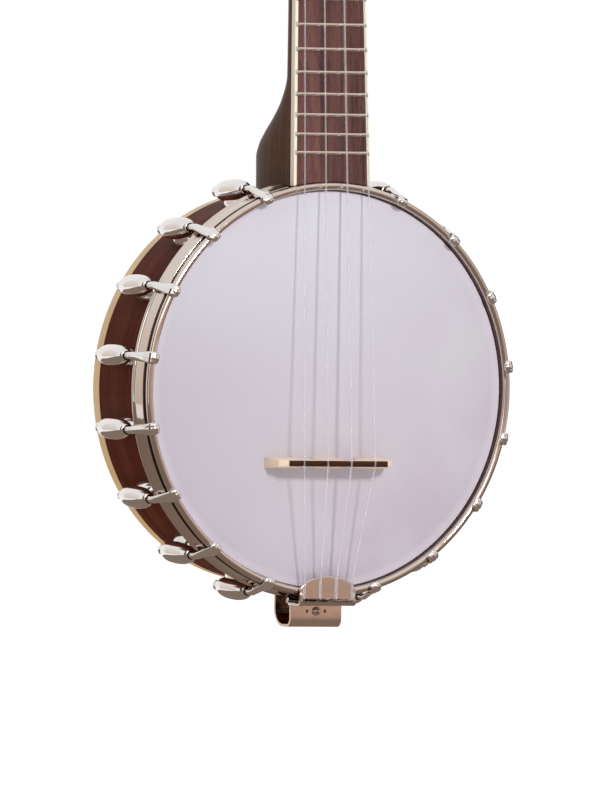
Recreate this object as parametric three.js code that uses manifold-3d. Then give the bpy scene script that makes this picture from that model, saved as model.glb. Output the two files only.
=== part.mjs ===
import * as THREE from 'three';
import { mergeVertices } from 'three/addons/utils/BufferGeometryUtils.js';
import Module from 'manifold-3d';

// A banjo ukulele in millimetres. The drum's axis lies along Y: its head faces -Y and its open
// back faces +Y. The neck points up +Z, and the origin is where a wall hanger holds the headstock.
// Depths (Y) count from the middle of the hoop's front bead, heights (Z) from the drum's axis.

// Fits
const SEAT_GAP = 0.3;
const CUT_OVERRUN = 5;

// Rim and its binding
const RIM_RADIUS = 102;
const RIM_WALL = 9.5;
const RIM_DEPTH = 64.6;
const RIM_EDGE_CHAMFER = 1.2;
const BINDING_WIDTH = 7;
const BINDING_THICKNESS = 2;

// Head with its flesh hoop
const HEAD_SET_BACK = 2.7;
const HEAD_FILM = 0.4;
const HEAD_COLLAR_THICKNESS = 0.5;
const FLESH_HOOP_SET_BACK = 2.9;
const FLESH_HOOP_DEPTH = 3.6;
const FLESH_HOOP_WIDTH = 2.8;

// Tension hoop
const BEAD_RADIUS = 1.95;
const BEAD_INSET = 0.2;
const SKIRT_THICKNESS = 1.7;
const SKIRT_FLARE = 0.8;
const SKIRT_OVERHANG = 4.4;
const SKIRT_LIP_HEIGHT = 0.6;
const SKIRT_LIP_WIDTH = 1.9;
const SKIRT_GROOVE = 0.5;
const SKIRT_NECK_CLEARANCE = 1.2;

// Hooks and their barrel nuts
const HOOKS_PER_SIDE = 8;
const FIRST_HOOK_DEGREES = 22;
const RIGHT_HOOK_STEP_DEGREES = 20.35;
const LEFT_HOOK_STEP_DEGREES = 19.85;
const HOOK_LEAN_DEGREES = 3.8;
const HOOK_DIAMETER = 3.85;
const HOOK_TIP_WIDTH = 5.7;
const HOOK_TIP_THICKNESS = 1.7;
const HOOK_TIP_DEGREES = 90;
const HOOK_TIP_REACH = 2.3;
const HOOK_HOLE_CLEARANCE = 0.5;
const HOOK_NUT_DIAMETER = 5.6;
const HOOK_NUT_LENGTH = 5.7;

// Shoes on the rim, each with its bolt and inner nut
const SHOE_SET_BACK = 3.4;
const SHOE_LENGTH = 30;
const SHOE_WIDTH = 11.4;
const SHOE_FOOT_LENGTH = 19;
const SHOE_FOOT_WIDTH = 10.4;
const SHOE_BOLT_SET_BACK = 15;
const SHOE_BOLT_DIAMETER = 4;
const SHOE_NUT_DIAMETER = 9;
const SHOE_NUT_HEIGHT = 3;

// Neck and headstock
const NECK_ANGLE_DEGREES = 3;
const FRETBOARD_FRONT_Y = 0.6;
const FRETBOARD_THICKNESS = 4;
const FRETBOARD_END_WIDTH = 45.3;
const NUT_END_WIDTH = 37;
const SCALE_LENGTH = 381;
const BRIDGE_Z = -38;
const FRET_COUNT = 15;
const FRET_WIDTH = 2.2;
const FRET_HEIGHT = 1;
const HEEL_DEPTH = 54;
const HEEL_LENGTH = 15;
const HEEL_SQUARENESS = 3.4;
const HEEL_RUN_OUT = 40;
const HEEL_BURIED_LENGTH = 18;
const SHAFT_SQUARENESS = 2.3;
const NECK_DEPTH = 14;
const HEADSTOCK_ANGLE_DEGREES = 13;
const HEADSTOCK_LENGTH = 126;
const HEADSTOCK_WIDTH = 59;
const HEADSTOCK_THICKNESS = 13;

// String nut, bridge and strings
const NUT_THICKNESS = 5;
const NUT_HEIGHT_OVER_BOARD = 2.1;
const NUT_STRING_SPREAD = 30.5;
const BRIDGE_STRING_SPREAD = 42;
const TAIL_STRING_SPREAD = 28.3;
const STRING_DIAMETERS = [0.72, 0.82, 1.02, 0.72];
const STRING_HEIGHT_AT_NUT = 1.8;
const BRIDGE_LENGTH = 71;
const BRIDGE_BASE_HEIGHT = 13.7;
const BRIDGE_BASE_THICKNESS = 5.7;
const BRIDGE_TOP_THICKNESS = 3;
const BRIDGE_CAP_LENGTH = 57;
const BRIDGE_CAP_HEIGHT = 2.1;
const BRIDGE_SHOULDER_HEIGHT = 2.8;
const BRIDGE_FOOT_HALF_WIDTH = 8.2;
const BRIDGE_ARCH_WIDTH = 9;
const BRIDGE_ARCH_HEIGHT = 7.5;

// Coordinator rod
const ROD_DIAMETER = 8;
const ROD_SET_BACK = 31.6;
const ROD_HOLD_IN_HEEL = 28;
const ROD_NUT_DIAMETER = 14;
const ROD_NUT_HEIGHT = 5;
const ROD_CROWN_DIAMETER = 11;
const ROD_CROWN_HEIGHT = 3.5;

// Tailpiece
const TAIL_SHEET = 1.3;
const TAIL_COVER_WIDTH = 33;
const TAIL_COVER_REACH = 9;
const TAIL_COVER_CLEARANCE = 0.7;
const TAIL_SLIT_DROP = 1.35;
const TAIL_SLIT_HEIGHT = 1.6;
const TAIL_SLIT_WIDTH = 30;
const TAIL_LEDGE_DROP = 2.2;
const TAIL_TONGUE_WIDTH = 24;
const TAIL_BRACKET_WIDTH = 30;
const TAIL_BRACKET_LEAD = 4.3;
const TAIL_BRACKET_DROP = 13.6;
const TAIL_FOOT_LEAD = 9;
const TAIL_FOOT_LENGTH = 19;
const TAIL_FRONT_BEND = 3.5;
const TAIL_BACK_BEND = 9;
const TAIL_FOOT_BEND = 1.2;
const TAIL_SCREW_DIAMETER = 2.6;
const TAIL_SCREW_HEAD_DIAMETER = 4.6;
const TAIL_SCREW_HEAD_HEIGHT = 1.6;
const TAIL_SCREW_DROP = 3.8;
const TAIL_SPARE_HOLE_DIAMETER = 1.8;
const TAIL_SPARE_HOLE_X = 5.3;

// Tuners
const TUNER_X = 17.5;
const TUNER_ROW_HEIGHTS = [34, 76];
const POST_DIAMETER = 6;
const POST_HEIGHT = 14;
const RUNNING_GAP = 0.3;
const BUSHING_WALL = 1.4;
const BUSHING_FLANGE = 2;
const BUSHING_FLANGE_HEIGHT = 1.7;
const WHEEL_DIAMETER = 10;
const WHEEL_THICKNESS = 4;
const WHEEL_TEETH = 14;
const WORM_DIAMETER = 4.8;
const HOUSING_WALL = 1.5;
const HOUSING_DEPTH = 11;
const KEY_SHAFT_DIAMETER = 3.2;
const KEY_REACH = 8;
const BUTTON_LENGTH = 11;
const BUTTON_WIDTH = 17;
const BUTTON_THICKNESS = 8;
const WINDING_HEIGHT = 9.5;
const WINDING_TURNS = 2;
const WINDING_PITCH = 1.5;

// Where the hanger holds the headstock, from the headstock's lower end
const HANGER_HEIGHT = 10;

// Facets
const RING_SEGMENTS = 48;
const BOLT_SIDES = 6;
const HOLE_SIDES = 10;
const HOOK_SIDES = 8;
const STRING_SIDES = 6;
const TAIL_BEND_STEPS = 3;
const STEPS_PER_TURN = 24;

// Places that several pieces share
const rimFrontY = HEAD_SET_BACK + HEAD_FILM + SEAT_GAP;
const rimBackY = rimFrontY + RIM_DEPTH;
const rimInnerRadius = RIM_RADIUS - RIM_WALL;
const fleshHoopFrontY = HEAD_SET_BACK + FLESH_HOOP_SET_BACK;
const fleshHoopBackY = fleshHoopFrontY + FLESH_HOOP_DEPTH;
const collarRadius = RIM_RADIUS + SEAT_GAP + HEAD_COLLAR_THICKNESS;
const fleshHoopRadius = collarRadius + FLESH_HOOP_WIDTH;
const beadCentreRadius = fleshHoopRadius - BEAD_INSET;
const beadOuterRadius = beadCentreRadius + BEAD_RADIUS;
const skirtInnerRadius = fleshHoopRadius + SEAT_GAP;
const skirtOuterRadius = skirtInnerRadius + SKIRT_THICKNESS;
const skirtLipRadius = skirtOuterRadius + SKIRT_FLARE + SKIRT_LIP_HEIGHT;
const skirtBackY = fleshHoopBackY + SKIRT_OVERHANG;
const shoeFrontY = skirtBackY + SHOE_SET_BACK;
const shoeBackY = shoeFrontY + SHOE_LENGTH;
const shoeBoltY = shoeFrontY + SHOE_BOLT_SET_BACK;
const shoeBaseRadius = RIM_RADIUS + SEAT_GAP;
const hookHoleRadius = HOOK_DIAMETER / 2 + HOOK_HOLE_CLEARANCE;
const hookLipY = skirtBackY - SKIRT_LIP_WIDTH;
const hookLipRadius = skirtLipRadius + SEAT_GAP + HOOK_DIAMETER / 2 + SKIRT_GROOVE / 2;
const hookLean = THREE.MathUtils.degToRad(HOOK_LEAN_DEGREES);
const rodY = rimFrontY + ROD_SET_BACK;
const neckAngle = THREE.MathUtils.degToRad(NECK_ANGLE_DEGREES);
const headstockAngle = THREE.MathUtils.degToRad(HEADSTOCK_ANGLE_DEGREES);
const fretboardEndZ = beadOuterRadius + SEAT_GAP;
const nutHeight = (SCALE_LENGTH + BRIDGE_Z - fretboardEndZ) / Math.cos(neckAngle);
const headstockFoot = nutHeight + NUT_THICKNESS + SEAT_GAP;
const bridgeFootY = HEAD_SET_BACK - SEAT_GAP;
const bridgeBaseTopY = bridgeFootY - BRIDGE_BASE_HEIGHT;
const bridgeTopY = bridgeBaseTopY - SEAT_GAP - BRIDGE_CAP_HEIGHT;
const bridgeStringY = bridgeTopY - SEAT_GAP;
const coverBackY = -BEAD_RADIUS - TAIL_COVER_CLEARANCE;
const coverFrontY = coverBackY - TAIL_SHEET;
const coverTopZ = TAIL_COVER_REACH - beadCentreRadius;
const slitZ = -beadOuterRadius - TAIL_SLIT_DROP;
const ledgeZ = -skirtLipRadius - TAIL_LEDGE_DROP;
const tailScrewZ = ledgeZ - TAIL_SCREW_DROP;
const bracketFrontY = skirtBackY - TAIL_BRACKET_LEAD;
const bracketBackY = rodY - TAIL_FOOT_LEAD;
const bracketBottomZ = -skirtLipRadius - TAIL_BRACKET_DROP;
const wheelCentreDepth = HEADSTOCK_THICKNESS + SEAT_GAP + HOUSING_DEPTH / 2;
const wormOffset = WHEEL_DIAMETER / 2 + RUNNING_GAP + WORM_DIAMETER / 2;

// Frames: the neck leans back from the drum's head, and the headstock leans back from the neck.
const neckFrame = new THREE.Matrix4()
  .makeTranslation(0, FRETBOARD_FRONT_Y, fretboardEndZ)
  .multiply(new THREE.Matrix4().makeRotationX(-neckAngle));
const headstockFrame = neckFrame
  .clone()
  .multiply(new THREE.Matrix4().makeTranslation(0, FRETBOARD_THICKNESS, headstockFoot))
  .multiply(new THREE.Matrix4().makeRotationX(-headstockAngle));
const hangerPoint = new THREE.Vector3(0, HEADSTOCK_THICKNESS / 2, HANGER_HEIGHT).applyMatrix4(headstockFrame);

// Materials
const finishes = {
  nickel: { color: 0xcfc8c0, roughness: 0.18, metalness: 1 },
  rimWood: { color: 0x4a2018, roughness: 0.35, metalness: 0 },
  binding: { color: 0xe8cda0, roughness: 0.4, metalness: 0 },
  head: { color: 0xd8d4de, roughness: 0.6, metalness: 0 },
  neckWood: { color: 0x4a3424, roughness: 0.4, metalness: 0 },
  rosewood: { color: 0x4c2a24, roughness: 0.55, metalness: 0 },
  bone: { color: 0xe9e2d0, roughness: 0.4, metalness: 0 },
  maple: { color: 0xecd0b0, roughness: 0.5, metalness: 0 },
  ebony: { color: 0x2c1a16, roughness: 0.5, metalness: 0 },
  nylon: { color: 0xe8e8ec, roughness: 0.25, metalness: 0 },
  pearl: { color: 0xe6e0d6, roughness: 0.25, metalness: 0 },
};

// Solids: closed meshes that can be joined and cut

const wasm = await Module();
wasm.setup();

function solidOf(geometry) {
  const bare = geometry.clone();
  bare.deleteAttribute('normal');
  bare.deleteAttribute('uv');
  const merged = mergeVertices(bare);
  const places = merged.attributes.position.array;
  const corners = merged.index.array;
  const kept = [];
  let volume = 0;
  const [a, b, c] = [new THREE.Vector3(), new THREE.Vector3(), new THREE.Vector3()];
  for (let i = 0; i < corners.length; i += 3) {
    const [p, q, r] = [corners[i], corners[i + 1], corners[i + 2]];
    if (p === q || q === r || r === p) continue;
    kept.push(p, q, r);
    a.fromArray(places, p * 3);
    b.fromArray(places, q * 3);
    c.fromArray(places, r * 3);
    volume += a.dot(b.cross(c));
  }
  if (volume < 0) kept.reverse();
  const mesh = new wasm.Mesh({
    numProp: 3,
    vertProperties: new Float32Array(places),
    triVerts: new Uint32Array(kept),
  });
  mesh.merge();
  return new wasm.Manifold(mesh);
}

function geometryOf(solid) {
  const mesh = solid.getMesh();
  const geometry = new THREE.BufferGeometry();
  geometry.setAttribute('position', new THREE.BufferAttribute(mesh.vertProperties, 3));
  geometry.setIndex(new THREE.BufferAttribute(mesh.triVerts, 1));
  geometry.computeVertexNormals();
  return geometry;
}

function joined(...geometries) {
  const [first, ...rest] = geometries.map(solidOf);
  return geometryOf(rest.reduce((whole, next) => whole.add(next), first));
}

function cut(geometry, ...cutters) {
  return geometryOf(cutters.map(solidOf).reduce((whole, next) => whole.subtract(next), solidOf(geometry)));
}

function common(geometry, other) {
  return geometryOf(solidOf(geometry).intersect(solidOf(other)));
}

// Simple shapes

const point = (x, y) => new THREE.Vector2(x, y);

function moved(geometry, x, y, z) {
  return geometry.translate(x, y, z);
}

function block(xSize, ySize, zSize, x, y, z) {
  return moved(new THREE.BoxGeometry(xSize, ySize, zSize), x, y, z);
}

// A body turned round the drum's axis; each outline point is (radius, depth).
function turned(outline, segments) {
  return new THREE.LatheGeometry([...outline, outline[0].clone()], segments);
}

// A round bar between two depths along Y, centred on x and z.
function barAlongDepth(radius, fromY, toY, x, z, sides) {
  const bar = new THREE.CylinderGeometry(radius, radius, toY - fromY, sides);
  return moved(bar, x, (fromY + toY) / 2, z);
}

// A round bar between two heights along Z, centred on x and y.
function barAlongHeight(radius, fromZ, toZ, x, y, sides) {
  const bar = new THREE.CylinderGeometry(radius, radius, toZ - fromZ, sides);
  return moved(bar.rotateX(Math.PI / 2), x, y, (fromZ + toZ) / 2);
}

// A round bar between two places along X, centred on y and z.
function barAlongWidth(radius, fromX, toX, y, z, sides) {
  const bar = new THREE.CylinderGeometry(radius, radius, Math.abs(toX - fromX), sides);
  return moved(bar.rotateZ(Math.PI / 2), (fromX + toX) / 2, y, z);
}

// A slab with an outline in (x, z), from one depth to another.
function slab(outline, fromY, toY, curveSegments) {
  const shape = outline instanceof THREE.Shape ? outline : new THREE.Shape(outline);
  const body = new THREE.ExtrudeGeometry(shape, { depth: toY - fromY, bevelEnabled: false, curveSegments });
  return moved(body.rotateX(Math.PI / 2), 0, toY, 0);
}

// A bar with a section in (y, z), centred across X.
function sectionBar(section, width) {
  const body = new THREE.ExtrudeGeometry(new THREE.Shape(section), { depth: width, bevelEnabled: false });
  body.rotateY(Math.PI / 2);
  body.rotateX(Math.PI / 2);
  return moved(body, -width / 2, 0, 0);
}

// A skin over rings of points, closed at both ends round each end ring's middle.
function lofted(rings) {
  const count = rings[0].length;
  const places = rings.flat().flatMap((p) => [p.x, p.y, p.z]);
  const corners = [];
  for (let i = 0; i < rings.length - 1; i += 1) {
    for (let j = 0; j < count; j += 1) {
      const next = (j + 1) % count;
      const [a, b] = [i * count + j, i * count + next];
      const [c, d] = [a + count, b + count];
      corners.push(a, b, d, a, d, c);
    }
  }
  const ends = [
    { ring: rings[0], start: 0, flip: true },
    { ring: rings.at(-1), start: (rings.length - 1) * count, flip: false },
  ];
  for (const { ring, start, flip } of ends) {
    const middle = ring.reduce((sum, p) => sum.add(p), new THREE.Vector3()).divideScalar(count);
    const hub = places.length / 3;
    places.push(middle.x, middle.y, middle.z);
    for (let j = 0; j < count; j += 1) {
      const [a, b] = [start + j, start + ((j + 1) % count)];
      corners.push(...(flip ? [b, a, hub] : [a, b, hub]));
    }
  }
  const geometry = new THREE.BufferGeometry();
  geometry.setAttribute('position', new THREE.Float32BufferAttribute(places, 3));
  geometry.setIndex(corners);
  return geometry;
}

function arcPoints(centreX, centreY, radius, fromDegrees, toDegrees, steps) {
  return Array.from({ length: steps + 1 }, (_, i) => {
    const angle = THREE.MathUtils.degToRad(fromDegrees + ((toDegrees - fromDegrees) * i) / steps);
    return point(centreX + radius * Math.cos(angle), centreY + radius * Math.sin(angle));
  });
}

// The outline of a bent sheet: its middle line, set off to both sides by half its thickness.
function sheetOutline(line, thickness) {
  const sides = line.map((p, i) => {
    const before = line[Math.max(i - 1, 0)];
    const after = line[Math.min(i + 1, line.length - 1)];
    const along = after.clone().sub(before).normalize();
    return point(-along.y, along.x).multiplyScalar(thickness / 2);
  });
  const left = line.map((p, i) => p.clone().add(sides[i]));
  const right = line.map((p, i) => p.clone().sub(sides[i]));
  return [...left, ...right.reverse()];
}

// Rim: a wooden ring with a bearing edge in front, a step for the binding, and its holes

function rimBody() {
  const bindingRadius = RIM_RADIUS - BINDING_THICKNESS - SEAT_GAP;
  const bindingFrontY = rimBackY - BINDING_WIDTH - SEAT_GAP;
  const outline = [
    point(rimInnerRadius, rimFrontY + RIM_EDGE_CHAMFER),
    point(rimInnerRadius + RIM_EDGE_CHAMFER, rimFrontY),
    point(RIM_RADIUS - RIM_EDGE_CHAMFER, rimFrontY),
    point(RIM_RADIUS, rimFrontY + RIM_EDGE_CHAMFER),
    point(RIM_RADIUS, bindingFrontY),
    point(bindingRadius, bindingFrontY),
    point(bindingRadius, rimBackY),
    point(rimInnerRadius, rimBackY),
  ];
  const holes = hookAngles().map((angle) => {
    const radius = SHOE_BOLT_DIAMETER / 2 + SEAT_GAP;
    const from = rimInnerRadius - CUT_OVERRUN;
    return barAlongHeight(radius, from, RIM_RADIUS + CUT_OVERRUN, 0, shoeBoltY, BOLT_SIDES).rotateY(angle);
  });
  const rodHole = barAlongHeight(
    ROD_DIAMETER / 2 + SEAT_GAP, -RIM_RADIUS - CUT_OVERRUN, RIM_RADIUS + CUT_OVERRUN, 0, rodY, HOLE_SIDES,
  );
  return cut(turned(outline, RING_SEGMENTS), ...holes, rodHole);
}

function rimBinding() {
  const frontY = rimBackY - BINDING_WIDTH;
  const innerRadius = RIM_RADIUS - BINDING_THICKNESS;
  return turned([
    point(innerRadius, frontY),
    point(RIM_RADIUS, frontY),
    point(RIM_RADIUS, rimBackY),
    point(innerRadius, rimBackY),
  ], RING_SEGMENTS);
}

// Head: the film over the bearing edge, its collar outside the rim and the flesh hoop it ends in

function headWithFleshHoop() {
  const innerRadius = RIM_RADIUS + SEAT_GAP;
  const filmBackY = HEAD_SET_BACK + HEAD_FILM;
  const outline = [
    point(0, HEAD_SET_BACK),
    point(collarRadius - RIM_EDGE_CHAMFER, HEAD_SET_BACK),
    point(collarRadius, HEAD_SET_BACK + RIM_EDGE_CHAMFER),
    point(collarRadius, fleshHoopFrontY),
    point(fleshHoopRadius, fleshHoopFrontY),
    point(fleshHoopRadius, fleshHoopBackY),
    point(innerRadius, fleshHoopBackY),
    point(innerRadius, filmBackY + RIM_EDGE_CHAMFER),
    point(innerRadius - RIM_EDGE_CHAMFER, filmBackY),
    point(0, filmBackY),
  ];
  return new THREE.LatheGeometry(outline, RING_SEGMENTS);
}

// Tension hoop: a bead in front, a skirt with a lip behind it, and a notch where the neck passes

function tensionHoop() {
  const ledgeY = fleshHoopFrontY - SEAT_GAP;
  const ledgeRadius = collarRadius + SEAT_GAP;
  const lipFrontY = skirtBackY - SKIRT_LIP_WIDTH;
  const bead = arcPoints(beadCentreRadius, 0, BEAD_RADIUS, 150, 400, 7);
  const outline = [
    ...bead,
    point(skirtOuterRadius, BEAD_RADIUS + SKIRT_GROOVE),
    point(skirtOuterRadius + SKIRT_FLARE, lipFrontY),
    point(skirtLipRadius, lipFrontY + SKIRT_GROOVE),
    point(skirtLipRadius, skirtBackY - SKIRT_GROOVE),
    point(skirtLipRadius - SKIRT_GROOVE, skirtBackY),
    point(skirtOuterRadius, skirtBackY),
    point(skirtInnerRadius, lipFrontY - SKIRT_THICKNESS),
    point(skirtInnerRadius, ledgeY),
    point(ledgeRadius, ledgeY),
    point(ledgeRadius, BEAD_RADIUS),
  ];
  const notchFrontY = BEAD_RADIUS + SKIRT_GROOVE;
  const notchWidth = FRETBOARD_END_WIDTH + 2 * SKIRT_NECK_CLEARANCE;
  const notchDepth = skirtBackY + CUT_OVERRUN - notchFrontY;
  const keptCore = barAlongDepth(
    skirtInnerRadius, notchFrontY - CUT_OVERRUN, skirtBackY + 2 * CUT_OVERRUN, 0, 0, RING_SEGMENTS,
  );
  const notchBlock = block(
    notchWidth, notchDepth, RIM_RADIUS, 0, notchFrontY + notchDepth / 2, RIM_RADIUS,
  );
  return cut(turned(outline, RING_SEGMENTS), cut(notchBlock, keptCore));
}

// Hooks: all are made at the top of the drum and turned round it

function hookAngles() {
  const oneSide = (stepDegrees) => Array.from(
    { length: HOOKS_PER_SIDE },
    (_, i) => THREE.MathUtils.degToRad(FIRST_HOOK_DEGREES + i * stepDegrees),
  );
  return [
    ...oneSide(RIGHT_HOOK_STEP_DEGREES),
    ...oneSide(LEFT_HOOK_STEP_DEGREES).map((angle) => -angle),
  ];
}

// A hook's distance from the drum's axis: it leans in towards the rim on its way back from the skirt.
function hookLineRadius(y) {
  return hookLipRadius - (y - hookLipY) * Math.tan(hookLean);
}

// An oval ring of points across a hook; lean is the direction of travel in the (y, z) plane.
function hookRing(y, radius, lean, width, thickness) {
  return Array.from({ length: HOOK_SIDES }, (_, i) => {
    const angle = (2 * Math.PI * (i + 1 / 2)) / HOOK_SIDES;
    const out = (thickness / 2) * Math.sin(angle);
    return new THREE.Vector3(
      (width / 2) * Math.cos(angle), y - out * Math.sin(lean), radius + out * Math.cos(lean),
    );
  });
}

// A round ring of points on the hook's line
function lineRing(y, diameter) {
  return hookRing(y, hookLineRadius(y), 0, diameter, diameter);
}

function hookBody() {
  const nutFrontY = shoeBackY + SEAT_GAP;
  const nutBackY = nutFrontY + HOOK_NUT_LENGTH;
  const nutRing = (y, share) => lineRing(y, HOOK_NUT_DIAMETER * share);
  const domeShare = 0.4;
  const wrapRadius = BEAD_RADIUS + SEAT_GAP + HOOK_TIP_THICKNESS / 2;
  const rings = [
    nutRing(nutBackY, domeShare),
    nutRing(nutBackY - HOOK_NUT_DIAMETER / 4, 1),
    nutRing(nutFrontY, 1),
    lineRing(nutFrontY, HOOK_DIAMETER),
    lineRing(hookLipY, HOOK_DIAMETER),
  ];
  const wrapSteps = 3;
  for (let i = 0; i <= wrapSteps; i += 1) {
    const angle = THREE.MathUtils.degToRad((HOOK_TIP_DEGREES * i) / wrapSteps);
    const y = -wrapRadius * Math.sin(angle);
    const radius = beadCentreRadius + wrapRadius * Math.cos(angle);
    rings.push(hookRing(y, radius, angle, HOOK_TIP_WIDTH, HOOK_TIP_THICKNESS));
  }
  const end = THREE.MathUtils.degToRad(HOOK_TIP_DEGREES);
  const [endWidthShare, endThicknessShare] = [0.6, 0.5];
  rings.push(hookRing(
    -wrapRadius * Math.sin(end) - HOOK_TIP_REACH * Math.cos(end),
    beadCentreRadius + wrapRadius * Math.cos(end) - HOOK_TIP_REACH * Math.sin(end),
    end, HOOK_TIP_WIDTH * endWidthShare, HOOK_TIP_THICKNESS * endThicknessShare,
  ));
  return lofted(rings);
}

// Shoe: an olive round the hook on a foot, and the bolt that holds it through the rim

function shoeBody() {
  const lengthShares = [0, 0.05, 0.12, 0.24, 0.4, 0.6, 0.76, 0.9, 1];
  const sizeShares = [0.54, 0.62, 0.74, 0.88, 0.98, 0.98, 0.88, 0.71, 0.54];
  const olive = lofted(lengthShares.map((share, i) => (
    lineRing(shoeFrontY + SHOE_LENGTH * share, SHOE_WIDTH * sizeShares[i])
  )).reverse());
  const footShares = [
    [1, 0.6], [0.6, 1], [-0.6, 1], [-1, 0.6], [-1, -0.6], [-0.6, -1], [0.6, -1], [1, -0.6],
  ];
  const footRing = (z, size) => footShares.map(([x, y]) => new THREE.Vector3(
    (SHOE_FOOT_WIDTH / 2) * size * x, shoeBoltY + (SHOE_FOOT_LENGTH / 2) * size * y, z,
  ));
  const footTopShare = 0.8;
  const foot = lofted([
    footRing(shoeBaseRadius, 1),
    footRing(hookLineRadius(shoeBoltY) - SHOE_WIDTH / 4, footTopShare),
  ]);
  const hookHole = lofted([
    lineRing(shoeBackY + CUT_OVERRUN, 2 * hookHoleRadius),
    lineRing(shoeFrontY - CUT_OVERRUN, 2 * hookHoleRadius),
  ]);
  const nutRadius = SHOE_NUT_DIAMETER / 2;
  const nutOuter = Math.sqrt(rimInnerRadius ** 2 - nutRadius ** 2) - SEAT_GAP;
  const boltTop = shoeBaseRadius + SHOE_BOLT_DIAMETER / 2;
  const bolt = barAlongHeight(
    SHOE_BOLT_DIAMETER / 2, nutOuter - SHOE_NUT_HEIGHT / 2, boltTop, 0, shoeBoltY, BOLT_SIDES,
  );
  const nut = barAlongHeight(nutRadius, nutOuter - SHOE_NUT_HEIGHT, nutOuter, 0, shoeBoltY, BOLT_SIDES);
  return cut(joined(olive, foot, bolt, nut), hookHole);
}

// Neck: a deep heel that thins to the shaft, with the headstock, cut to seat on the rim

// Half a rounded section behind the fretboard; squareness is the exponent of its rounding.
function neckRing(z, halfWidth, frontY, depth, squareness) {
  const steps = 12;
  return Array.from({ length: steps + 1 }, (_, i) => {
    const angle = (Math.PI * i) / steps;
    const [c, s] = [Math.cos(angle), Math.sin(angle)];
    const x = i === steps ? -halfWidth : halfWidth * Math.sign(c) * Math.abs(c) ** (2 / squareness);
    return new THREE.Vector3(x, frontY + depth * Math.abs(s) ** (2 / squareness), z);
  });
}

function boardHalfWidth(z) {
  return THREE.MathUtils.lerp(FRETBOARD_END_WIDTH, NUT_END_WIDTH, z / nutHeight) / 2;
}

function neckShaft() {
  const placeShares = [0, 0.15, 0.3, 0.48, 0.7, 1];
  const depthShares = [1, 0.95, 0.83, 0.64, 0.44, 0.29];
  const ring = (z, frontY, depth, squareness) => neckRing(z, boardHalfWidth(z), frontY, depth, squareness);
  const rings = [ring(-HEEL_BURIED_LENGTH, FRETBOARD_THICKNESS, HEEL_DEPTH, HEEL_SQUARENESS)];
  placeShares.forEach((share, i) => {
    const squareness = THREE.MathUtils.lerp(HEEL_SQUARENESS, SHAFT_SQUARENESS, share);
    const z = HEEL_LENGTH + HEEL_RUN_OUT * share;
    rings.push(ring(z, FRETBOARD_THICKNESS, HEEL_DEPTH * depthShares[i], squareness));
  });
  for (const z of [nutHeight / 2, nutHeight, headstockFoot]) {
    rings.push(ring(z, FRETBOARD_THICKNESS, NECK_DEPTH, SHAFT_SQUARENESS));
  }
  const runIn = HEADSTOCK_THICKNESS;
  const drop = runIn * Math.tan(headstockAngle) + SEAT_GAP;
  const endZ = headstockFoot + runIn;
  rings.push(ring(endZ, FRETBOARD_THICKNESS + drop, NECK_DEPTH - SEAT_GAP, SHAFT_SQUARENESS));
  rings.push(neckRing(
    endZ + runIn, NUT_END_WIDTH / 4, FRETBOARD_THICKNESS + 2 * drop, NECK_DEPTH / 2, SHAFT_SQUARENESS,
  ));
  return lofted(rings);
}

function headstockOutline() {
  const half = HEADSTOCK_WIDTH / 2;
  const neckHalf = boardHalfWidth(headstockFoot);
  const [flareShare, shoulderShare, waistShare, cornerShare] = [0.1, 0.3, 0.86, 0.98];
  const [waistWidthShare, cornerWidthShare] = [0.9, 0.78];
  const height = (share) => HEADSTOCK_LENGTH * share;
  const shape = new THREE.Shape();
  const cornerHeight = height(cornerShare);
  shape.moveTo(neckHalf, 0);
  shape.bezierCurveTo(neckHalf, height(flareShare), half, height(flareShare), half, height(shoulderShare));
  shape.lineTo(half * waistWidthShare, height(waistShare));
  shape.quadraticCurveTo(half * cornerWidthShare, cornerHeight, 0, HEADSTOCK_LENGTH);
  shape.quadraticCurveTo(
    -half * cornerWidthShare, cornerHeight, -half * waistWidthShare, height(waistShare),
  );
  shape.lineTo(-half, height(shoulderShare));
  shape.bezierCurveTo(-half, height(flareShare), -neckHalf, height(flareShare), -neckHalf, 0);
  return shape;
}

function tunerPlaces() {
  return TUNER_ROW_HEIGHTS.flatMap((height, row) => [-1, 1].map((side) => ({ side, height, row })));
}

function neckBody() {
  const intoNeck = neckFrame.clone().invert();
  const headstockInNeck = intoNeck.clone().multiply(headstockFrame);
  const headstock = slab(headstockOutline(), 0, HEADSTOCK_THICKNESS, 6).applyMatrix4(headstockInNeck);
  const rimCut = barAlongDepth(
    RIM_RADIUS + SEAT_GAP, -RIM_RADIUS, rimBackY + CUT_OVERRUN, 0, 0, RING_SEGMENTS,
  );
  const hoopCut = barAlongDepth(
    beadOuterRadius + SEAT_GAP, -RIM_RADIUS, fleshHoopBackY + SEAT_GAP, 0, 0, RING_SEGMENTS,
  );
  const rodHole = barAlongHeight(
    ROD_DIAMETER / 2 + SEAT_GAP, 0, RIM_RADIUS + ROD_HOLD_IN_HEEL + SEAT_GAP, 0, rodY, HOLE_SIDES,
  );
  const drumCuts = [rimCut, hoopCut, rodHole].map((cutter) => cutter.applyMatrix4(intoNeck));
  const bushingRadius = POST_DIAMETER / 2 + RUNNING_GAP + BUSHING_WALL;
  const tunerHoles = tunerPlaces().map(({ side, height }) => barAlongDepth(
    bushingRadius + SEAT_GAP, -CUT_OVERRUN, HEADSTOCK_THICKNESS + CUT_OVERRUN,
    side * TUNER_X, height, HOLE_SIDES,
  ).applyMatrix4(headstockInNeck));
  return cut(joined(neckShaft(), headstock), ...drumCuts, ...tunerHoles);
}

// Fretboard: a tapered board with its frets, hollowed at the end to follow the hoop's bead

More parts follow.
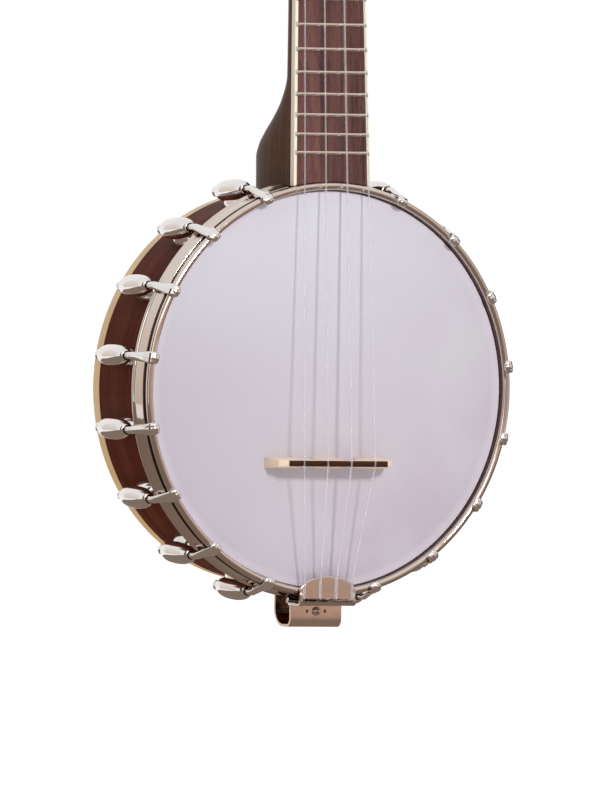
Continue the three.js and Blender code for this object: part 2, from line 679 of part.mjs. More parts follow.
function fretboard() {
  const topZ = nutHeight - SEAT_GAP;
  const runOut = CUT_OVERRUN;
  const [low, high] = [boardHalfWidth(-runOut), boardHalfWidth(topZ)];
  const outline = [point(low, -runOut), point(high, topZ), point(-high, topZ), point(-low, -runOut)];
  const board = slab(outline, 0, FRETBOARD_THICKNESS - SEAT_GAP);
  const frets = Array.from({ length: FRET_COUNT }, (_, i) => {
    const fromNut = SCALE_LENGTH * (1 - 2 ** (-(i + 1) / 12));
    const z = nutHeight - fromNut;
    const section = [
      point(FRET_HEIGHT, -FRET_WIDTH / 2),
      point(-FRET_HEIGHT / 2, -FRET_WIDTH / 2),
      point(-FRET_HEIGHT, -FRET_WIDTH / 6),
      point(-FRET_HEIGHT, FRET_WIDTH / 6),
      point(-FRET_HEIGHT / 2, FRET_WIDTH / 2),
      point(FRET_HEIGHT, FRET_WIDTH / 2),
    ];
    return moved(sectionBar(section, 2 * (boardHalfWidth(z) - SEAT_GAP)), 0, 0, z);
  });
  const hoopCut = barAlongDepth(
    beadOuterRadius + SEAT_GAP, -RIM_RADIUS, RIM_RADIUS, 0, 0, RING_SEGMENTS,
  ).applyMatrix4(neckFrame.clone().invert());
  return cut(joined(board, ...frets), hoopCut);
}

function stringShare(index) {
  return index / (STRING_DIAMETERS.length - 1) - 1 / 2;
}

function stringNut() {
  const backY = FRETBOARD_THICKNESS - SEAT_GAP;
  const height = backY + NUT_HEIGHT_OVER_BOARD;
  const body = block(
    NUT_END_WIDTH, height, NUT_THICKNESS, 0, backY - height / 2, nutHeight + NUT_THICKNESS / 2,
  );
  const slots = STRING_DIAMETERS.map((diameter, i) => {
    const floorY = diameter / 2 + SEAT_GAP - STRING_HEIGHT_AT_NUT;
    return block(
      diameter + 2 * SEAT_GAP, CUT_OVERRUN, NUT_THICKNESS + CUT_OVERRUN,
      NUT_STRING_SPREAD * stringShare(i), floorY - CUT_OVERRUN / 2, nutHeight + NUT_THICKNESS / 2,
    );
  });
  return cut(body, ...slots);
}

// Bridge: a maple base on three feet, thinner at the top, and a dark cap with string notches

function bridgeBase() {
  const half = BRIDGE_LENGTH / 2;
  const [endShare, shoulderShare] = [0.94, 0.8];
  const archTopY = bridgeFootY - BRIDGE_ARCH_HEIGHT;
  const arch = (side) => {
    const inner = side * BRIDGE_FOOT_HALF_WIDTH;
    const outer = side * (BRIDGE_FOOT_HALF_WIDTH + BRIDGE_ARCH_WIDTH);
    const middle = (inner + outer) / 2;
    const radius = BRIDGE_ARCH_WIDTH / 2;
    const crown = arcPoints(middle, archTopY + radius, radius, 180, 360, 6);
    const path = [point(middle - radius, bridgeFootY + CUT_OVERRUN), ...crown,
      point(middle + radius, bridgeFootY + CUT_OVERRUN)];
    return new THREE.ExtrudeGeometry(new THREE.Shape(path), {
      depth: 2 * BRIDGE_BASE_THICKNESS, bevelEnabled: false,
    }).translate(0, 0, BRIDGE_Z - BRIDGE_BASE_THICKNESS);
  };
  const endFoot = [
    point(-half, bridgeFootY),
    point(-half * endShare, bridgeBaseTopY + BRIDGE_SHOULDER_HEIGHT),
    point(-half * shoulderShare, bridgeBaseTopY),
    point(half * shoulderShare, bridgeBaseTopY),
    point(half * endShare, bridgeBaseTopY + BRIDGE_SHOULDER_HEIGHT),
    point(half, bridgeFootY),
  ];
  const front = new THREE.ExtrudeGeometry(new THREE.Shape(endFoot), {
    depth: BRIDGE_BASE_THICKNESS, bevelEnabled: false,
  }).translate(0, 0, BRIDGE_Z - BRIDGE_BASE_THICKNESS / 2);
  const wedge = sectionBar([
    point(bridgeFootY, BRIDGE_Z - BRIDGE_BASE_THICKNESS / 2),
    point(bridgeFootY, BRIDGE_Z + BRIDGE_BASE_THICKNESS / 2),
    point(bridgeBaseTopY, BRIDGE_Z + BRIDGE_TOP_THICKNESS / 2),
    point(bridgeBaseTopY, BRIDGE_Z - BRIDGE_TOP_THICKNESS / 2),
  ], BRIDGE_LENGTH + CUT_OVERRUN);
  return cut(common(front, wedge), arch(-1), arch(1));
}

function bridgeCap() {
  const backY = bridgeTopY + BRIDGE_CAP_HEIGHT;
  const body = block(
    BRIDGE_CAP_LENGTH, BRIDGE_CAP_HEIGHT, BRIDGE_TOP_THICKNESS, 0, (backY + bridgeTopY) / 2, BRIDGE_Z,
  );
  const notches = STRING_DIAMETERS.map((diameter, i) => {
    const floorY = bridgeStringY + diameter / 2 + SEAT_GAP;
    return block(
      diameter + 2 * SEAT_GAP, CUT_OVERRUN, BRIDGE_TOP_THICKNESS + CUT_OVERRUN,
      BRIDGE_STRING_SPREAD * stringShare(i), floorY - CUT_OVERRUN / 2, BRIDGE_Z,
    );
  });
  return cut(body, ...notches);
}

// Coordinator rod: it screws into the heel, and its nuts clamp the rim and the tail bracket

function coordinatorRod() {
  const nutRadius = ROD_NUT_DIAMETER / 2;
  const insideZ = Math.sqrt(rimInnerRadius ** 2 - nutRadius ** 2) - SEAT_GAP;
  const footOuterZ = -RIM_RADIUS - 2 * SEAT_GAP - TAIL_SHEET;
  const outsideZ = footOuterZ - ROD_NUT_HEIGHT;
  const crownZ = outsideZ - ROD_CROWN_HEIGHT;
  const hexagon = (fromZ, toZ) => barAlongHeight(nutRadius, fromZ, toZ, 0, rodY, BOLT_SIDES);
  const crown = new THREE.CylinderGeometry(
    ROD_DIAMETER / 2, ROD_CROWN_DIAMETER / 2, ROD_CROWN_HEIGHT, HOLE_SIDES,
  );
  crown.rotateX(-Math.PI / 2);
  return joined(
    barAlongHeight(ROD_DIAMETER / 2, outsideZ, RIM_RADIUS + ROD_HOLD_IN_HEEL, 0, rodY, HOLE_SIDES),
    hexagon(insideZ - ROD_NUT_HEIGHT, insideZ),
    hexagon(-insideZ, -insideZ + ROD_NUT_HEIGHT),
    hexagon(outsideZ, footOuterZ),
    moved(crown, 0, rodY, (outsideZ + crownZ) / 2),
  );
}

// Tailpiece: the bracket is a bent strap from the rim, and the cover hangs over the hoop

function tailBracket() {
  const footZ = -RIM_RADIUS - SEAT_GAP - TAIL_SHEET / 2;
  const frontTopZ = ledgeZ - TAIL_SHEET / 2 - SEAT_GAP;
  const bend = (y, z, radius, from, to) => arcPoints(y, z, radius, from, to, TAIL_BEND_STEPS);
  const line = [
    point(bracketFrontY, frontTopZ),
    ...bend(bracketFrontY + TAIL_FRONT_BEND, bracketBottomZ + TAIL_FRONT_BEND, TAIL_FRONT_BEND, 180, 270),
    ...bend(bracketBackY - TAIL_BACK_BEND, bracketBottomZ + TAIL_BACK_BEND, TAIL_BACK_BEND, 270, 360),
    ...bend(bracketBackY + TAIL_FOOT_BEND, footZ - TAIL_FOOT_BEND, TAIL_FOOT_BEND, 180, 90),
    point(bracketBackY + TAIL_FOOT_LENGTH, footZ),
  ];
  const strap = sectionBar(sheetOutline(line, TAIL_SHEET), TAIL_BRACKET_WIDTH);
  const fromY = bracketFrontY - TAIL_SHEET;
  const toY = bracketFrontY + TAIL_SHEET;
  const screwHole = barAlongDepth(
    TAIL_SCREW_DIAMETER / 2 + SEAT_GAP, fromY, toY, 0, tailScrewZ, HOLE_SIDES,
  );
  const spareHole = barAlongDepth(
    TAIL_SPARE_HOLE_DIAMETER / 2, fromY, toY, TAIL_SPARE_HOLE_X, tailScrewZ, BOLT_SIDES,
  );
  const rodHole = barAlongHeight(
    ROD_DIAMETER / 2 + SEAT_GAP, footZ - TAIL_SHEET, footZ + TAIL_SHEET, 0, rodY, HOLE_SIDES,
  );
  return cut(strap, screwHole, spareHole, rodHole);
}

function tailCover() {
  const half = TAIL_COVER_WIDTH / 2;
  const bottomZ = ledgeZ + TAIL_SHEET;
  const crownHeight = half / 2;
  const crown = arcPoints(0, 0, 1, 0, 180, 10).map((p) => (
    point(p.x * half, coverTopZ - crownHeight + p.y * crownHeight)
  ));
  const plate = slab([...crown, point(-half, bottomZ), point(half, bottomZ)], coverFrontY, coverBackY);
  const tongueY = bracketFrontY + TAIL_SHEET + SEAT_GAP;
  const plateY = (coverFrontY + coverBackY) / 2;
  const bend = bottomZ - ledgeZ;
  const ledgeLine = [
    point(plateY, bottomZ + TAIL_SHEET),
    point(plateY, bottomZ),
    point(plateY + bend / 2, ledgeZ + bend / 4),
    point(plateY + 2 * bend, ledgeZ),
    point(bracketFrontY, ledgeZ),
  ];
  const tongueLine = [
    point(bracketFrontY - TAIL_SHEET, ledgeZ),
    point(tongueY - TAIL_SHEET / 2, ledgeZ),
    point(tongueY, ledgeZ - TAIL_SHEET / 2),
    point(tongueY, tailScrewZ - TAIL_FRONT_BEND),
  ];
  const ledge = sectionBar(sheetOutline(ledgeLine, TAIL_SHEET), TAIL_COVER_WIDTH);
  const tongue = sectionBar(sheetOutline(tongueLine, TAIL_SHEET), TAIL_TONGUE_WIDTH);
  const slit = block(
    TAIL_SLIT_WIDTH, 2 * TAIL_SHEET, TAIL_SLIT_HEIGHT, 0, plateY, slitZ,
  );
  const headBackY = bracketFrontY - TAIL_SHEET / 2 - SEAT_GAP;
  const screw = barAlongDepth(
    TAIL_SCREW_DIAMETER / 2, headBackY, tongueY + 2 * TAIL_SHEET, 0, tailScrewZ, BOLT_SIDES,
  );
  const screwHead = barAlongDepth(
    TAIL_SCREW_HEAD_DIAMETER / 2, headBackY - TAIL_SCREW_HEAD_HEIGHT, headBackY, 0, tailScrewZ, HOLE_SIDES,
  );
  return joined(cut(joined(plate, ledge, tongue), slit), screw, screwHead);
}

// Tuners, each in the headstock's frame: x across, y from its face to its back, z along it

function tunerHousing() {
  const half = WHEEL_DIAMETER / 2 + RUNNING_GAP + HOUSING_WALL;
  const below = wormOffset + WORM_DIAMETER / 2 + RUNNING_GAP + HOUSING_WALL;
  const frontY = HEADSTOCK_THICKNESS + SEAT_GAP;
  const height = half + below;
  const centreZ = (half - below) / 2;
  const centreY = frontY + HOUSING_DEPTH / 2;
  const shell = block(2 * half, HOUSING_DEPTH, height, 0, centreY, centreZ);
  const hollow = block(
    2 * (half - HOUSING_WALL), HOUSING_DEPTH - 2 * HOUSING_WALL, height - 2 * HOUSING_WALL,
    0, centreY, centreZ,
  );
  const bore = POST_DIAMETER / 2 + RUNNING_GAP;
  const outer = bore + BUSHING_WALL;
  const flangeBackY = -SEAT_GAP;
  const flangeFrontY = flangeBackY - BUSHING_FLANGE_HEIGHT;
  const bushing = barAlongDepth(outer, flangeFrontY, frontY + HOUSING_WALL, 0, 0, HOLE_SIDES);
  const flange = barAlongDepth(outer + BUSHING_FLANGE, flangeFrontY, flangeBackY, 0, 0, HOLE_SIDES);
  const postHole = barAlongDepth(bore, flangeFrontY - CUT_OVERRUN, centreY, 0, 0, HOLE_SIDES);
  const shaftHole = barAlongWidth(
    KEY_SHAFT_DIAMETER / 2 + RUNNING_GAP, -half - CUT_OVERRUN, half + CUT_OVERRUN,
    wheelCentreDepth, -wormOffset, HOLE_SIDES,
  );
  return cut(joined(shell, bushing, flange), hollow, postHole, shaftHole);
}

function tunerPost() {
  const backY = HEADSTOCK_THICKNESS + SEAT_GAP + HOUSING_DEPTH - HOUSING_WALL - RUNNING_GAP;
  const shaft = barAlongDepth(POST_DIAMETER / 2, -POST_HEIGHT, backY, 0, 0, HOLE_SIDES);
  const toothDepth = WHEEL_DIAMETER / (WHEEL_TEETH + 2);
  const rim = Array.from({ length: 2 * WHEEL_TEETH }, (_, i) => {
    const angle = (Math.PI * i) / WHEEL_TEETH;
    const radius = WHEEL_DIAMETER / 2 - (i % 2 ? toothDepth : 0);
    return point(radius * Math.cos(angle), radius * Math.sin(angle));
  });
  const wheel = slab(rim, wheelCentreDepth - WHEEL_THICKNESS / 2, wheelCentreDepth + WHEEL_THICKNESS / 2);
  return joined(shaft, wheel);
}

function tunerKey(side) {
  const half = WHEEL_DIAMETER / 2 + RUNNING_GAP + HOUSING_WALL;
  const wormHalf = half - HOUSING_WALL - RUNNING_GAP;
  const shaftEnd = half + KEY_REACH;
  const along = (radius, from, to, sides) => barAlongWidth(
    radius, Math.min(side * from, side * to), Math.max(side * from, side * to),
    wheelCentreDepth, -wormOffset, sides,
  );
  const button = new THREE.SphereGeometry(1, 10, 6);
  button.scale(BUTTON_LENGTH / 2, BUTTON_THICKNESS / 2, BUTTON_WIDTH / 2);
  const buttonX = shaftEnd + BUTTON_LENGTH / 2 - BUTTON_LENGTH / 8;
  return joined(
    along(KEY_SHAFT_DIAMETER / 2, -half, shaftEnd, BOLT_SIDES),
    along(WORM_DIAMETER / 2, -wormHalf, wormHalf, HOLE_SIDES),
    along(KEY_SHAFT_DIAMETER, shaftEnd - KEY_SHAFT_DIAMETER, shaftEnd, HOLE_SIDES),
    moved(button, side * buttonX, wheelCentreDepth, -wormOffset),
  );
}

// Strings: taut from the tail's slit over the cover, bridge and nut, then wound on their posts

// A curve through hand-placed points that keeps every one of them as a ring of the swept tube.
class StringRoute extends THREE.Curve {
  constructor(points) {
    super();
    this.points = points;
  }

  getPoint(t, target = new THREE.Vector3()) {
    const last = this.points.length - 1;
    const index = Math.min(Math.floor(t * last), last - 1);
    return target.lerpVectors(this.points[index], this.points[index + 1], t * last - index);
  }

  getPointAt(u, target) {
    return this.getPoint(u, target);
  }

  getTangentAt(u, target = new THREE.Vector3()) {
    const last = this.points.length - 1;
    const index = Math.round(u * last);
    const before = this.points[Math.max(index - 1, 0)];
    const after = this.points[Math.min(index + 1, last)];
    return target.subVectors(after, before).normalize();
  }
}

// String order from the left: the outer two go to the lower posts, the inner two to the upper.
function postOfString(index) {
  const side = stringShare(index) < 0 ? -1 : 1;
  const outer = index === 0 || index === STRING_DIAMETERS.length - 1;
  return { side, height: TUNER_ROW_HEIGHTS[outer ? 0 : 1] };
}

function windingPoints(index, diameter) {
  const { side, height } = postOfString(index);
  const radius = POST_DIAMETER / 2 + SEAT_GAP + diameter / 2;
  const steps = Math.round(WINDING_TURNS * STEPS_PER_TURN);
  const turns = Array.from({ length: steps + 1 }, (_, i) => {
    const angle = (2 * Math.PI * i) / STEPS_PER_TURN;
    return new THREE.Vector3(
      side * (TUNER_X - radius * Math.cos(angle)),
      -WINDING_HEIGHT + (WINDING_PITCH * i) / STEPS_PER_TURN,
      height + radius * Math.sin(angle),
    );
  });
  const last = turns.at(-1);
  const along = last.clone().sub(turns.at(-2)).normalize();
  turns.push(last.clone().addScaledVector(along, diameter));
  return turns.map((p) => p.applyMatrix4(headstockFrame));
}

function stringPoints(index) {
  const diameter = STRING_DIAMETERS[index];
  const tailX = TAIL_STRING_SPREAD * stringShare(index);
  const bridgeX = BRIDGE_STRING_SPREAD * stringShare(index);
  const nutX = NUT_STRING_SPREAD * stringShare(index);
  const overCover = coverFrontY - SEAT_GAP - diameter / 2;
  const slitTop = slitZ + TAIL_SLIT_HEIGHT / 2;
  const atNut = (z) => new THREE.Vector3(nutX, -STRING_HEIGHT_AT_NUT, z).applyMatrix4(neckFrame);
  return [
    new THREE.Vector3(tailX, coverBackY + TAIL_SHEET, slitZ),
    new THREE.Vector3(tailX, coverFrontY, slitZ),
    new THREE.Vector3(tailX, overCover, slitTop + SEAT_GAP),
    new THREE.Vector3(tailX, overCover, coverTopZ),
    new THREE.Vector3(bridgeX, bridgeStringY, BRIDGE_Z),
    atNut(nutHeight),
    atNut(nutHeight + NUT_THICKNESS + SEAT_GAP),
    ...windingPoints(index, diameter),
  ];
}

// The least clear distance between neighbouring turns of one string's winding.
function leastWindingGap(index) {
  const diameter = STRING_DIAMETERS[index];
  const turns = windingPoints(index, diameter);
  let least = Infinity;
  for (let i = 0; i < turns.length; i += 1) {
    for (let j = i + STEPS_PER_TURN / 2; j < turns.length; j += 1) {
      least = Math.min(least, turns[i].distanceTo(turns[j]) - diameter);
    }
  }
  return least;
}

function stringBody(index) {
  const route = new StringRoute(stringPoints(index));
  const radius = STRING_DIAMETERS[index] / 2;
  const section = new THREE.Shape(arcPoints(0, 0, radius, 0, 360, STRING_SIDES).slice(0, STRING_SIDES));
  return new THREE.ExtrudeGeometry(section, { steps: route.points.length - 1, extrudePath: route });
}

// Assembly

function addPiece(parent, name, geometry, finish) {
  const mesh = new THREE.Mesh(geometry, new THREE.MeshStandardMaterial(finish));
  mesh.name = name;
  parent.add(mesh);
  return mesh;
}

function frameGroup(parent, matrix) {
  const group = new THREE.Group();
  matrix.decompose(group.position, group.quaternion, group.scale);
  parent.add(group);
  return group;
}

function addHooksAndShoes(parent) {
  const hook = hookBody();
  const shoe = shoeBody();
  hookAngles().forEach((angle, i) => {
    const side = angle > 0 ? 'right' : 'left';
    const number = (i % HOOKS_PER_SIDE) + 1;
    addPiece(parent, `hook_${side}_${number}`, hook, finishes.nickel).rotation.y = angle;
    addPiece(parent, `shoe_${side}_${number}`, shoe, finishes.nickel).rotation.y = angle;
  });
}

function addTuners(parent) {
  for (const { side, height, row } of tunerPlaces()) {
    const place = new THREE.Group();
    place.position.set(side * TUNER_X, 0, height);
    parent.add(place);
    const name = `${row === 0 ? 'lower' : 'upper'}_${side < 0 ? 'left' : 'right'}`;
    addPiece(place, `tuner_housing_${name}`, tunerHousing(), finishes.nickel);
    addPiece(place, `tuner_post_${name}`, tunerPost(), finishes.nickel);
    addPiece(place, `tuner_key_${name}`, tunerKey(side), finishes.pearl);
  }
}

function banjoUkulele() {
  const whole = new THREE.Group();
  const drum = new THREE.Group();
  drum.position.copy(hangerPoint).negate();
  whole.add(drum);

  addPiece(drum, 'rim', rimBody(), finishes.rimWood);
  addPiece(drum, 'rim_binding', rimBinding(), finishes.binding);
  addPiece(drum, 'head', headWithFleshHoop(), finishes.head);
  addPiece(drum, 'tension_hoop', tensionHoop(), finishes.nickel);
  addHooksAndShoes(drum);
  addPiece(drum, 'coordinator_rod', coordinatorRod(), finishes.nickel);
  addPiece(drum, 'tailpiece_bracket', tailBracket(), finishes.nickel);
  addPiece(drum, 'tailpiece_cover', tailCover(), finishes.nickel);
  addPiece(drum, 'bridge_base', bridgeBase(), finishes.maple);
  addPiece(drum, 'bridge_cap', bridgeCap(), finishes.ebony);

  const neck = frameGroup(drum, neckFrame);
  addPiece(neck, 'neck', neckBody(), finishes.neckWood);
  addPiece(neck, 'fretboard', fretboard(), finishes.rosewood);
  addPiece(neck, 'string_nut', stringNut(), finishes.bone);
  addTuners(frameGroup(drum, headstockFrame));

  STRING_DIAMETERS.forEach((_, i) => {
    addPiece(drum, `string_${i + 1}`, stringBody(i), finishes.nylon);
    console.log(`string ${i + 1}: least gap between turns ${leastWindingGap(i).toFixed(2)} mm`);
  });
  return whole;
}

export default banjoUkulele();
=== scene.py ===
"""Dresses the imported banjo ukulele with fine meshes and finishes, and sets up its studio and camera.

Sizes are in millimetres in the drum's own frame (X right, Y back, Z up, origin on the drum's axis at
the middle of the tension hoop's bead) or in the neck's or headstock's frame, and become metres when a
piece is placed.
"""

import logging
import math
from collections.abc import Callable, Sequence
from dataclasses import dataclass
from enum import Enum
from itertools import pairwise

import bmesh
import bpy
from mathutils import Matrix, Vector


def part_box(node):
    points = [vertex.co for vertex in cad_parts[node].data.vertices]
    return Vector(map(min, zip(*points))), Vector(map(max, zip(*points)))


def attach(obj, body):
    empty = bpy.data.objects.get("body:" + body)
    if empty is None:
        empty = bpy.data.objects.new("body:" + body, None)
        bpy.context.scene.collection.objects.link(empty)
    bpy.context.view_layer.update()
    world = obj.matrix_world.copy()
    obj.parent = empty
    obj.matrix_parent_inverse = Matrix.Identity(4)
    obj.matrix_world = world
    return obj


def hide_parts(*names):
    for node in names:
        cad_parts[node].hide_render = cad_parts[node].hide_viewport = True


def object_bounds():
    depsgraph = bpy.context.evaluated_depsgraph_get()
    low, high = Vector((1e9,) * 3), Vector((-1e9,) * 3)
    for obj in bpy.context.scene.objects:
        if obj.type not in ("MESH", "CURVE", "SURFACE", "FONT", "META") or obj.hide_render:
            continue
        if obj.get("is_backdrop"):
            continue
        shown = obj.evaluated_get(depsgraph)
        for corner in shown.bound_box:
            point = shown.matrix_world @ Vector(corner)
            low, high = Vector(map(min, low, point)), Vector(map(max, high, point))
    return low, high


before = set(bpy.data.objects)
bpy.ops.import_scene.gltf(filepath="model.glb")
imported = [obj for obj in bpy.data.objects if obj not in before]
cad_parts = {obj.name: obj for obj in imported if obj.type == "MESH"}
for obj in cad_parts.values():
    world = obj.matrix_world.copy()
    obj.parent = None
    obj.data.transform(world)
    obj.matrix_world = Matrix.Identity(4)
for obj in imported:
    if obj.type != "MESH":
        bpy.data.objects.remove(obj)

LOG = logging.getLogger("banjo_ukulele")
TAU = math.tau
MM = 0.001

Profile = list[tuple[float, float]]
Colour = tuple[float, float, float]
Tint = tuple[float, float, float, float]
Socket = bpy.types.NodeSocket
Tree = bpy.types.NodeTree

RIM_STEPS, HOOP_STEPS, SKIRT_STEPS = 256, 288, 272


def srgb(red: int, green: int, blue: int) -> Tint:
    """A display colour of 0 to 255 as a linear colour with full opacity.

    Args:
        red: Red of 0 to 255.
        green: Green.
        blue: Blue.

    Returns:
        The linear colour.
    """

    def linear(value: float) -> float:
        """One channel of 0 to 1 as a linear value."""
        return value / 12.92 if value <= 0.04045 else ((value + 0.055) / 1.055) ** 2.4

    return (linear(red / 255), linear(green / 255), linear(blue / 255), 1.0)


# Shapes


class Along(Enum):
    """The axis that a prism or a turned bar runs along."""

    X = "x"
    Y = "y"
    Z = "z"

    def place(self, first: float, second: float, along: float) -> Vector:
        """A point with the given section coordinates and place along the axis.

        Args:
            first: First section coordinate.
            second: Second section coordinate.
            along: Place along the axis.

        Returns:
            The point.
        """
        if self is Along.X:
            return Vector((along, first, second))
        if self is Along.Y:
            return Vector((first, along, second))
        return Vector((first, second, along))


@dataclass
class Solid:
    """A closed surface as points and faces, in millimetres.

    Args:
        points: Corner points.
        faces: Corner numbers of each face.
    """

    points: list[Vector]
    faces: list[tuple[int, ...]]

    def moved(self, matrix: Matrix) -> "Solid":
        """The same solid in another place."""
        return Solid([matrix @ p for p in self.points], self.faces)

    def bent(self, change: Callable[[Vector], Vector]) -> "Solid":
        """The same solid with each point changed by a function."""
        return Solid([change(p) for p in self.points], self.faces)

    def with_more(self, *others: "Solid") -> "Solid":
        """This solid and others, as separate closed surfaces of one piece.

        Args:
            others: The other solids.

        Returns:
            All of them as one solid.
        """
        points, faces = list(self.points), list(self.faces)
        for other in others:
            start = len(points)
            points += other.points
            faces += [tuple(start + i for i in face) for face in other.faces]
        return Solid(points, faces)


def rounded(outline: Profile, radius: float | Sequence[float], steps: int = 4) -> Profile:
    """Rounds the corners of a closed outline.

    Args:
        outline: Corner points.
        radius: How far from each corner the rounding starts, one value or one for each corner.
        steps: Parts of each rounded corner.

    Returns:
        The outline with curves for its corners.
    """
    count = len(outline)
    cuts = [radius] * count if isinstance(radius, (int, float)) else list(radius)
    made: Profile = []
    for i, cut in enumerate(cuts):
        corner = Vector(outline[i])
        before, after = Vector(outline[i - 1]) - corner, Vector(outline[(i + 1) % count]) - corner
        reach = min(cut, 0.49 * before.length, 0.49 * after.length)
        if reach <= 0:
            made.append(tuple(corner))
            continue
        start, end = corner + before.normalized() * reach, corner + after.normalized() * reach
        for step in range(steps + 1):
            t = step / steps
            made.append(tuple(start * (1 - t) ** 2 + corner * 2 * t * (1 - t) + end * t**2))
    return made


def arc(centre: tuple[float, float], radius: float, start: float, end: float, steps: int) -> Profile:
    """Points on an arc, with angles in degrees."""
    turn = [math.radians(start + (end - start) * i / steps) for i in range(steps + 1)]
    return [(centre[0] + radius * math.cos(a), centre[1] + radius * math.sin(a)) for a in turn]


def turned(profile: Profile, steps: int = 192, span: tuple[float, float] = (0.0, 360.0)) -> Solid:
    """A body turned round the Y axis, counted clockwise from +Z as seen from the front.

    Args:
        profile: Closed outline of (radius, depth) points.
        steps: Parts of the turn.
        span: First and last angle in degrees.

    Returns:
        The closed body.
    """
    whole = math.isclose(span[1] - span[0], 360.0)
    rings = steps if whole else steps + 1
    count = len(profile)
    points, faces = [], []
    for i in range(rings):
        angle = math.radians(span[0] + (span[1] - span[0]) * i / steps)
        points += [Vector((r * math.sin(angle), y, r * math.cos(angle))) for r, y in profile]
    for i in range(steps):
        low, high = i * count, ((i + 1) % rings) * count
        for j in range(count):
            k = (j + 1) % count
            if profile[j][0] > 0 or profile[k][0] > 0:
                faces.append((low + j, low + k, high + k, high + j))
    if not whole:
        last = (rings - 1) * count
        faces += [tuple(range(count)), tuple(range(last + count - 1, last - 1, -1))]
    return Solid(points, faces)


def bar(profile: Profile, along: Along, steps: int = 32) -> Solid:
    """A turned bar along an axis through the origin, from (radius, place) points off the axis.

    Args:
        profile: Outline from one end to the other; the ends are closed on the axis.
        along: The axis that the bar runs along.
        steps: Sides of the bar.

    Returns:
        The closed body.
    """
    closed = [(0.0, profile[0][1]), *profile, (0.0, profile[-1][1])]
    body = turned(closed, steps)
    return body.bent(lambda p: along.place(p.x, p.z, p.y))


def prism(outline: Profile, low: float, high: float, along: Along) -> Solid:
    """A straight body with the same outline from one place to another along an axis.

    Args:
        outline: Closed section.
        low: First place.
        high: Last place.
        along: The axis.

    Returns:
        The closed body.
    """
    count = len(outline)
    points = [along.place(u, v, w) for w in (low, high) for u, v in outline]
    faces = [tuple(range(count)), tuple(range(2 * count - 1, count - 1, -1))]
    faces += [(i, (i + 1) % count, (i + 1) % count + count, i + count) for i in range(count)]
    return Solid(points, faces)


def lofted(rings: Sequence[Sequence[Vector]]) -> Solid:
    """A skin over rings of points, closed at both ends.

    Args:
        rings: Rings with equal counts of points.

    Returns:
        The closed body.
    """
    count = len(rings[0])
    faces: list[tuple[int, ...]] = []
    for i in range(len(rings) - 1):
        low, high = i * count, (i + 1) * count
        faces += [(low + j, low + (j + 1) % count, high + (j + 1) % count, high + j) for j in range(count)]
    last = (len(rings) - 1) * count
    faces += [tuple(range(count - 1, -1, -1)), tuple(range(last, last + count))]
    return Solid([p for ring in rings for p in ring], faces)


def tube(path: Sequence[Vector], radius: float, sides: int) -> Solid:
    """A round tube along a path, with rings that don't twist.

    Args:
        path: Points of its middle line.
        radius: Its radius.
        sides: Its sides.

    Returns:
        The closed body.
    """
    up = Vector((1, 0, 0))
    rings = []
    for i, point in enumerate(path):
        along = (path[min(i + 1, len(path) - 1)] - path[max(i - 1, 0)]).normalized()
        up = (up - along * up.dot(along)).normalized()
        side = along.cross(up)
        angles = [TAU * k / sides for k in range(sides)]
        rings.append([point + (up * math.cos(a) + side * math.sin(a)) * radius for a in angles])
    return lofted(rings)


def eased_path(points: Sequence[Vector], reach: float, steps: int = 5) -> list[Vector]:
    """A path with its corners rounded, starting at most reach before each corner.

    Args:
        points: Points of the path.
        reach: Longest cut before a corner.
        steps: Parts of each curve.

    Returns:
        The rounded path.
    """
    made = [points[0]]
    for before, corner, after in zip(points, points[1:], points[2:], strict=False):
        away, onward = before - corner, after - corner
        start = corner + away.normalized() * min(reach, 0.45 * away.length)
        end = corner + onward.normalized() * min(reach, 0.45 * onward.length)
        for step in range(steps + 1):
            t = step / steps
            made.append(start * (1 - t) ** 2 + corner * 2 * t * (1 - t) + end * t**2)
    return [*made, points[-1]]


def eased(stations: Sequence[float], values: Sequence[float], at: float) -> float:
    """A smooth value between stations that never overshoots them.

    Args:
        stations: Places in rising order.
        values: The value at each station.
        at: The place asked for.

    Returns:
        The value there.
    """
    slopes = [(b - a) / (t - s) for (s, t), (a, b) in zip(pairwise(stations), pairwise(values), strict=True)]
    tangents = [slopes[0]]
    for one, two in pairwise(slopes):
        tangents.append(0.0 if one * two <= 0 else 2 * one * two / (one + two))
    tangents.append(slopes[-1])
    i = max(k for k in range(len(slopes)) if k == 0 or stations[k] <= at)
    width = stations[i + 1] - stations[i]
    t = min(max((at - stations[i]) / width, 0.0), 1.0)
    return (
        values[i] * (1 + 2 * t) * (1 - t) ** 2
        + tangents[i] * width * t * (1 - t) ** 2
        + values[i + 1] * t**2 * (3 - 2 * t)
        - tangents[i + 1] * width * t**2 * (1 - t)
    )


def hex_ring(flat: float, reach: float, place: float, along: Along) -> list[Vector]:
    """A hexagon of a size across its flats, trimmed to a circle, at a place along an axis.

    Args:
        flat: Middle to flat.
        reach: Radius of the circle.
        place: Place along the axis.
        along: The axis.

    Returns:
        The ring's points.
    """
    sides, steps = 6, 48
    ring = []
    for k in range(steps):
        angle = TAU * k / steps
        off_flat = (angle + math.pi / sides) % (TAU / sides) - math.pi / sides
        radius = min(flat / math.cos(off_flat), reach)
        ring.append(along.place(radius * math.cos(angle), radius * math.sin(angle), place))
    return ring


def hexagon(corner: float, chamfer: float, low: float, high: float, along: Along) -> Solid:
    """A hexagon nut without its bore, with turned chamfers at both ends.

    Args:
        corner: Middle to corner.
        chamfer: Length of a chamfer.
        low: First end.
        high: Last end.
        along: The axis.

    Returns:
        The closed body.
    """
    flat = corner * math.cos(math.pi / 6)
    ends = ((low, flat), (low + chamfer, corner), (high - chamfer, corner), (high, flat))
    return lofted([hex_ring(flat, reach, place, along) for place, reach in ends])


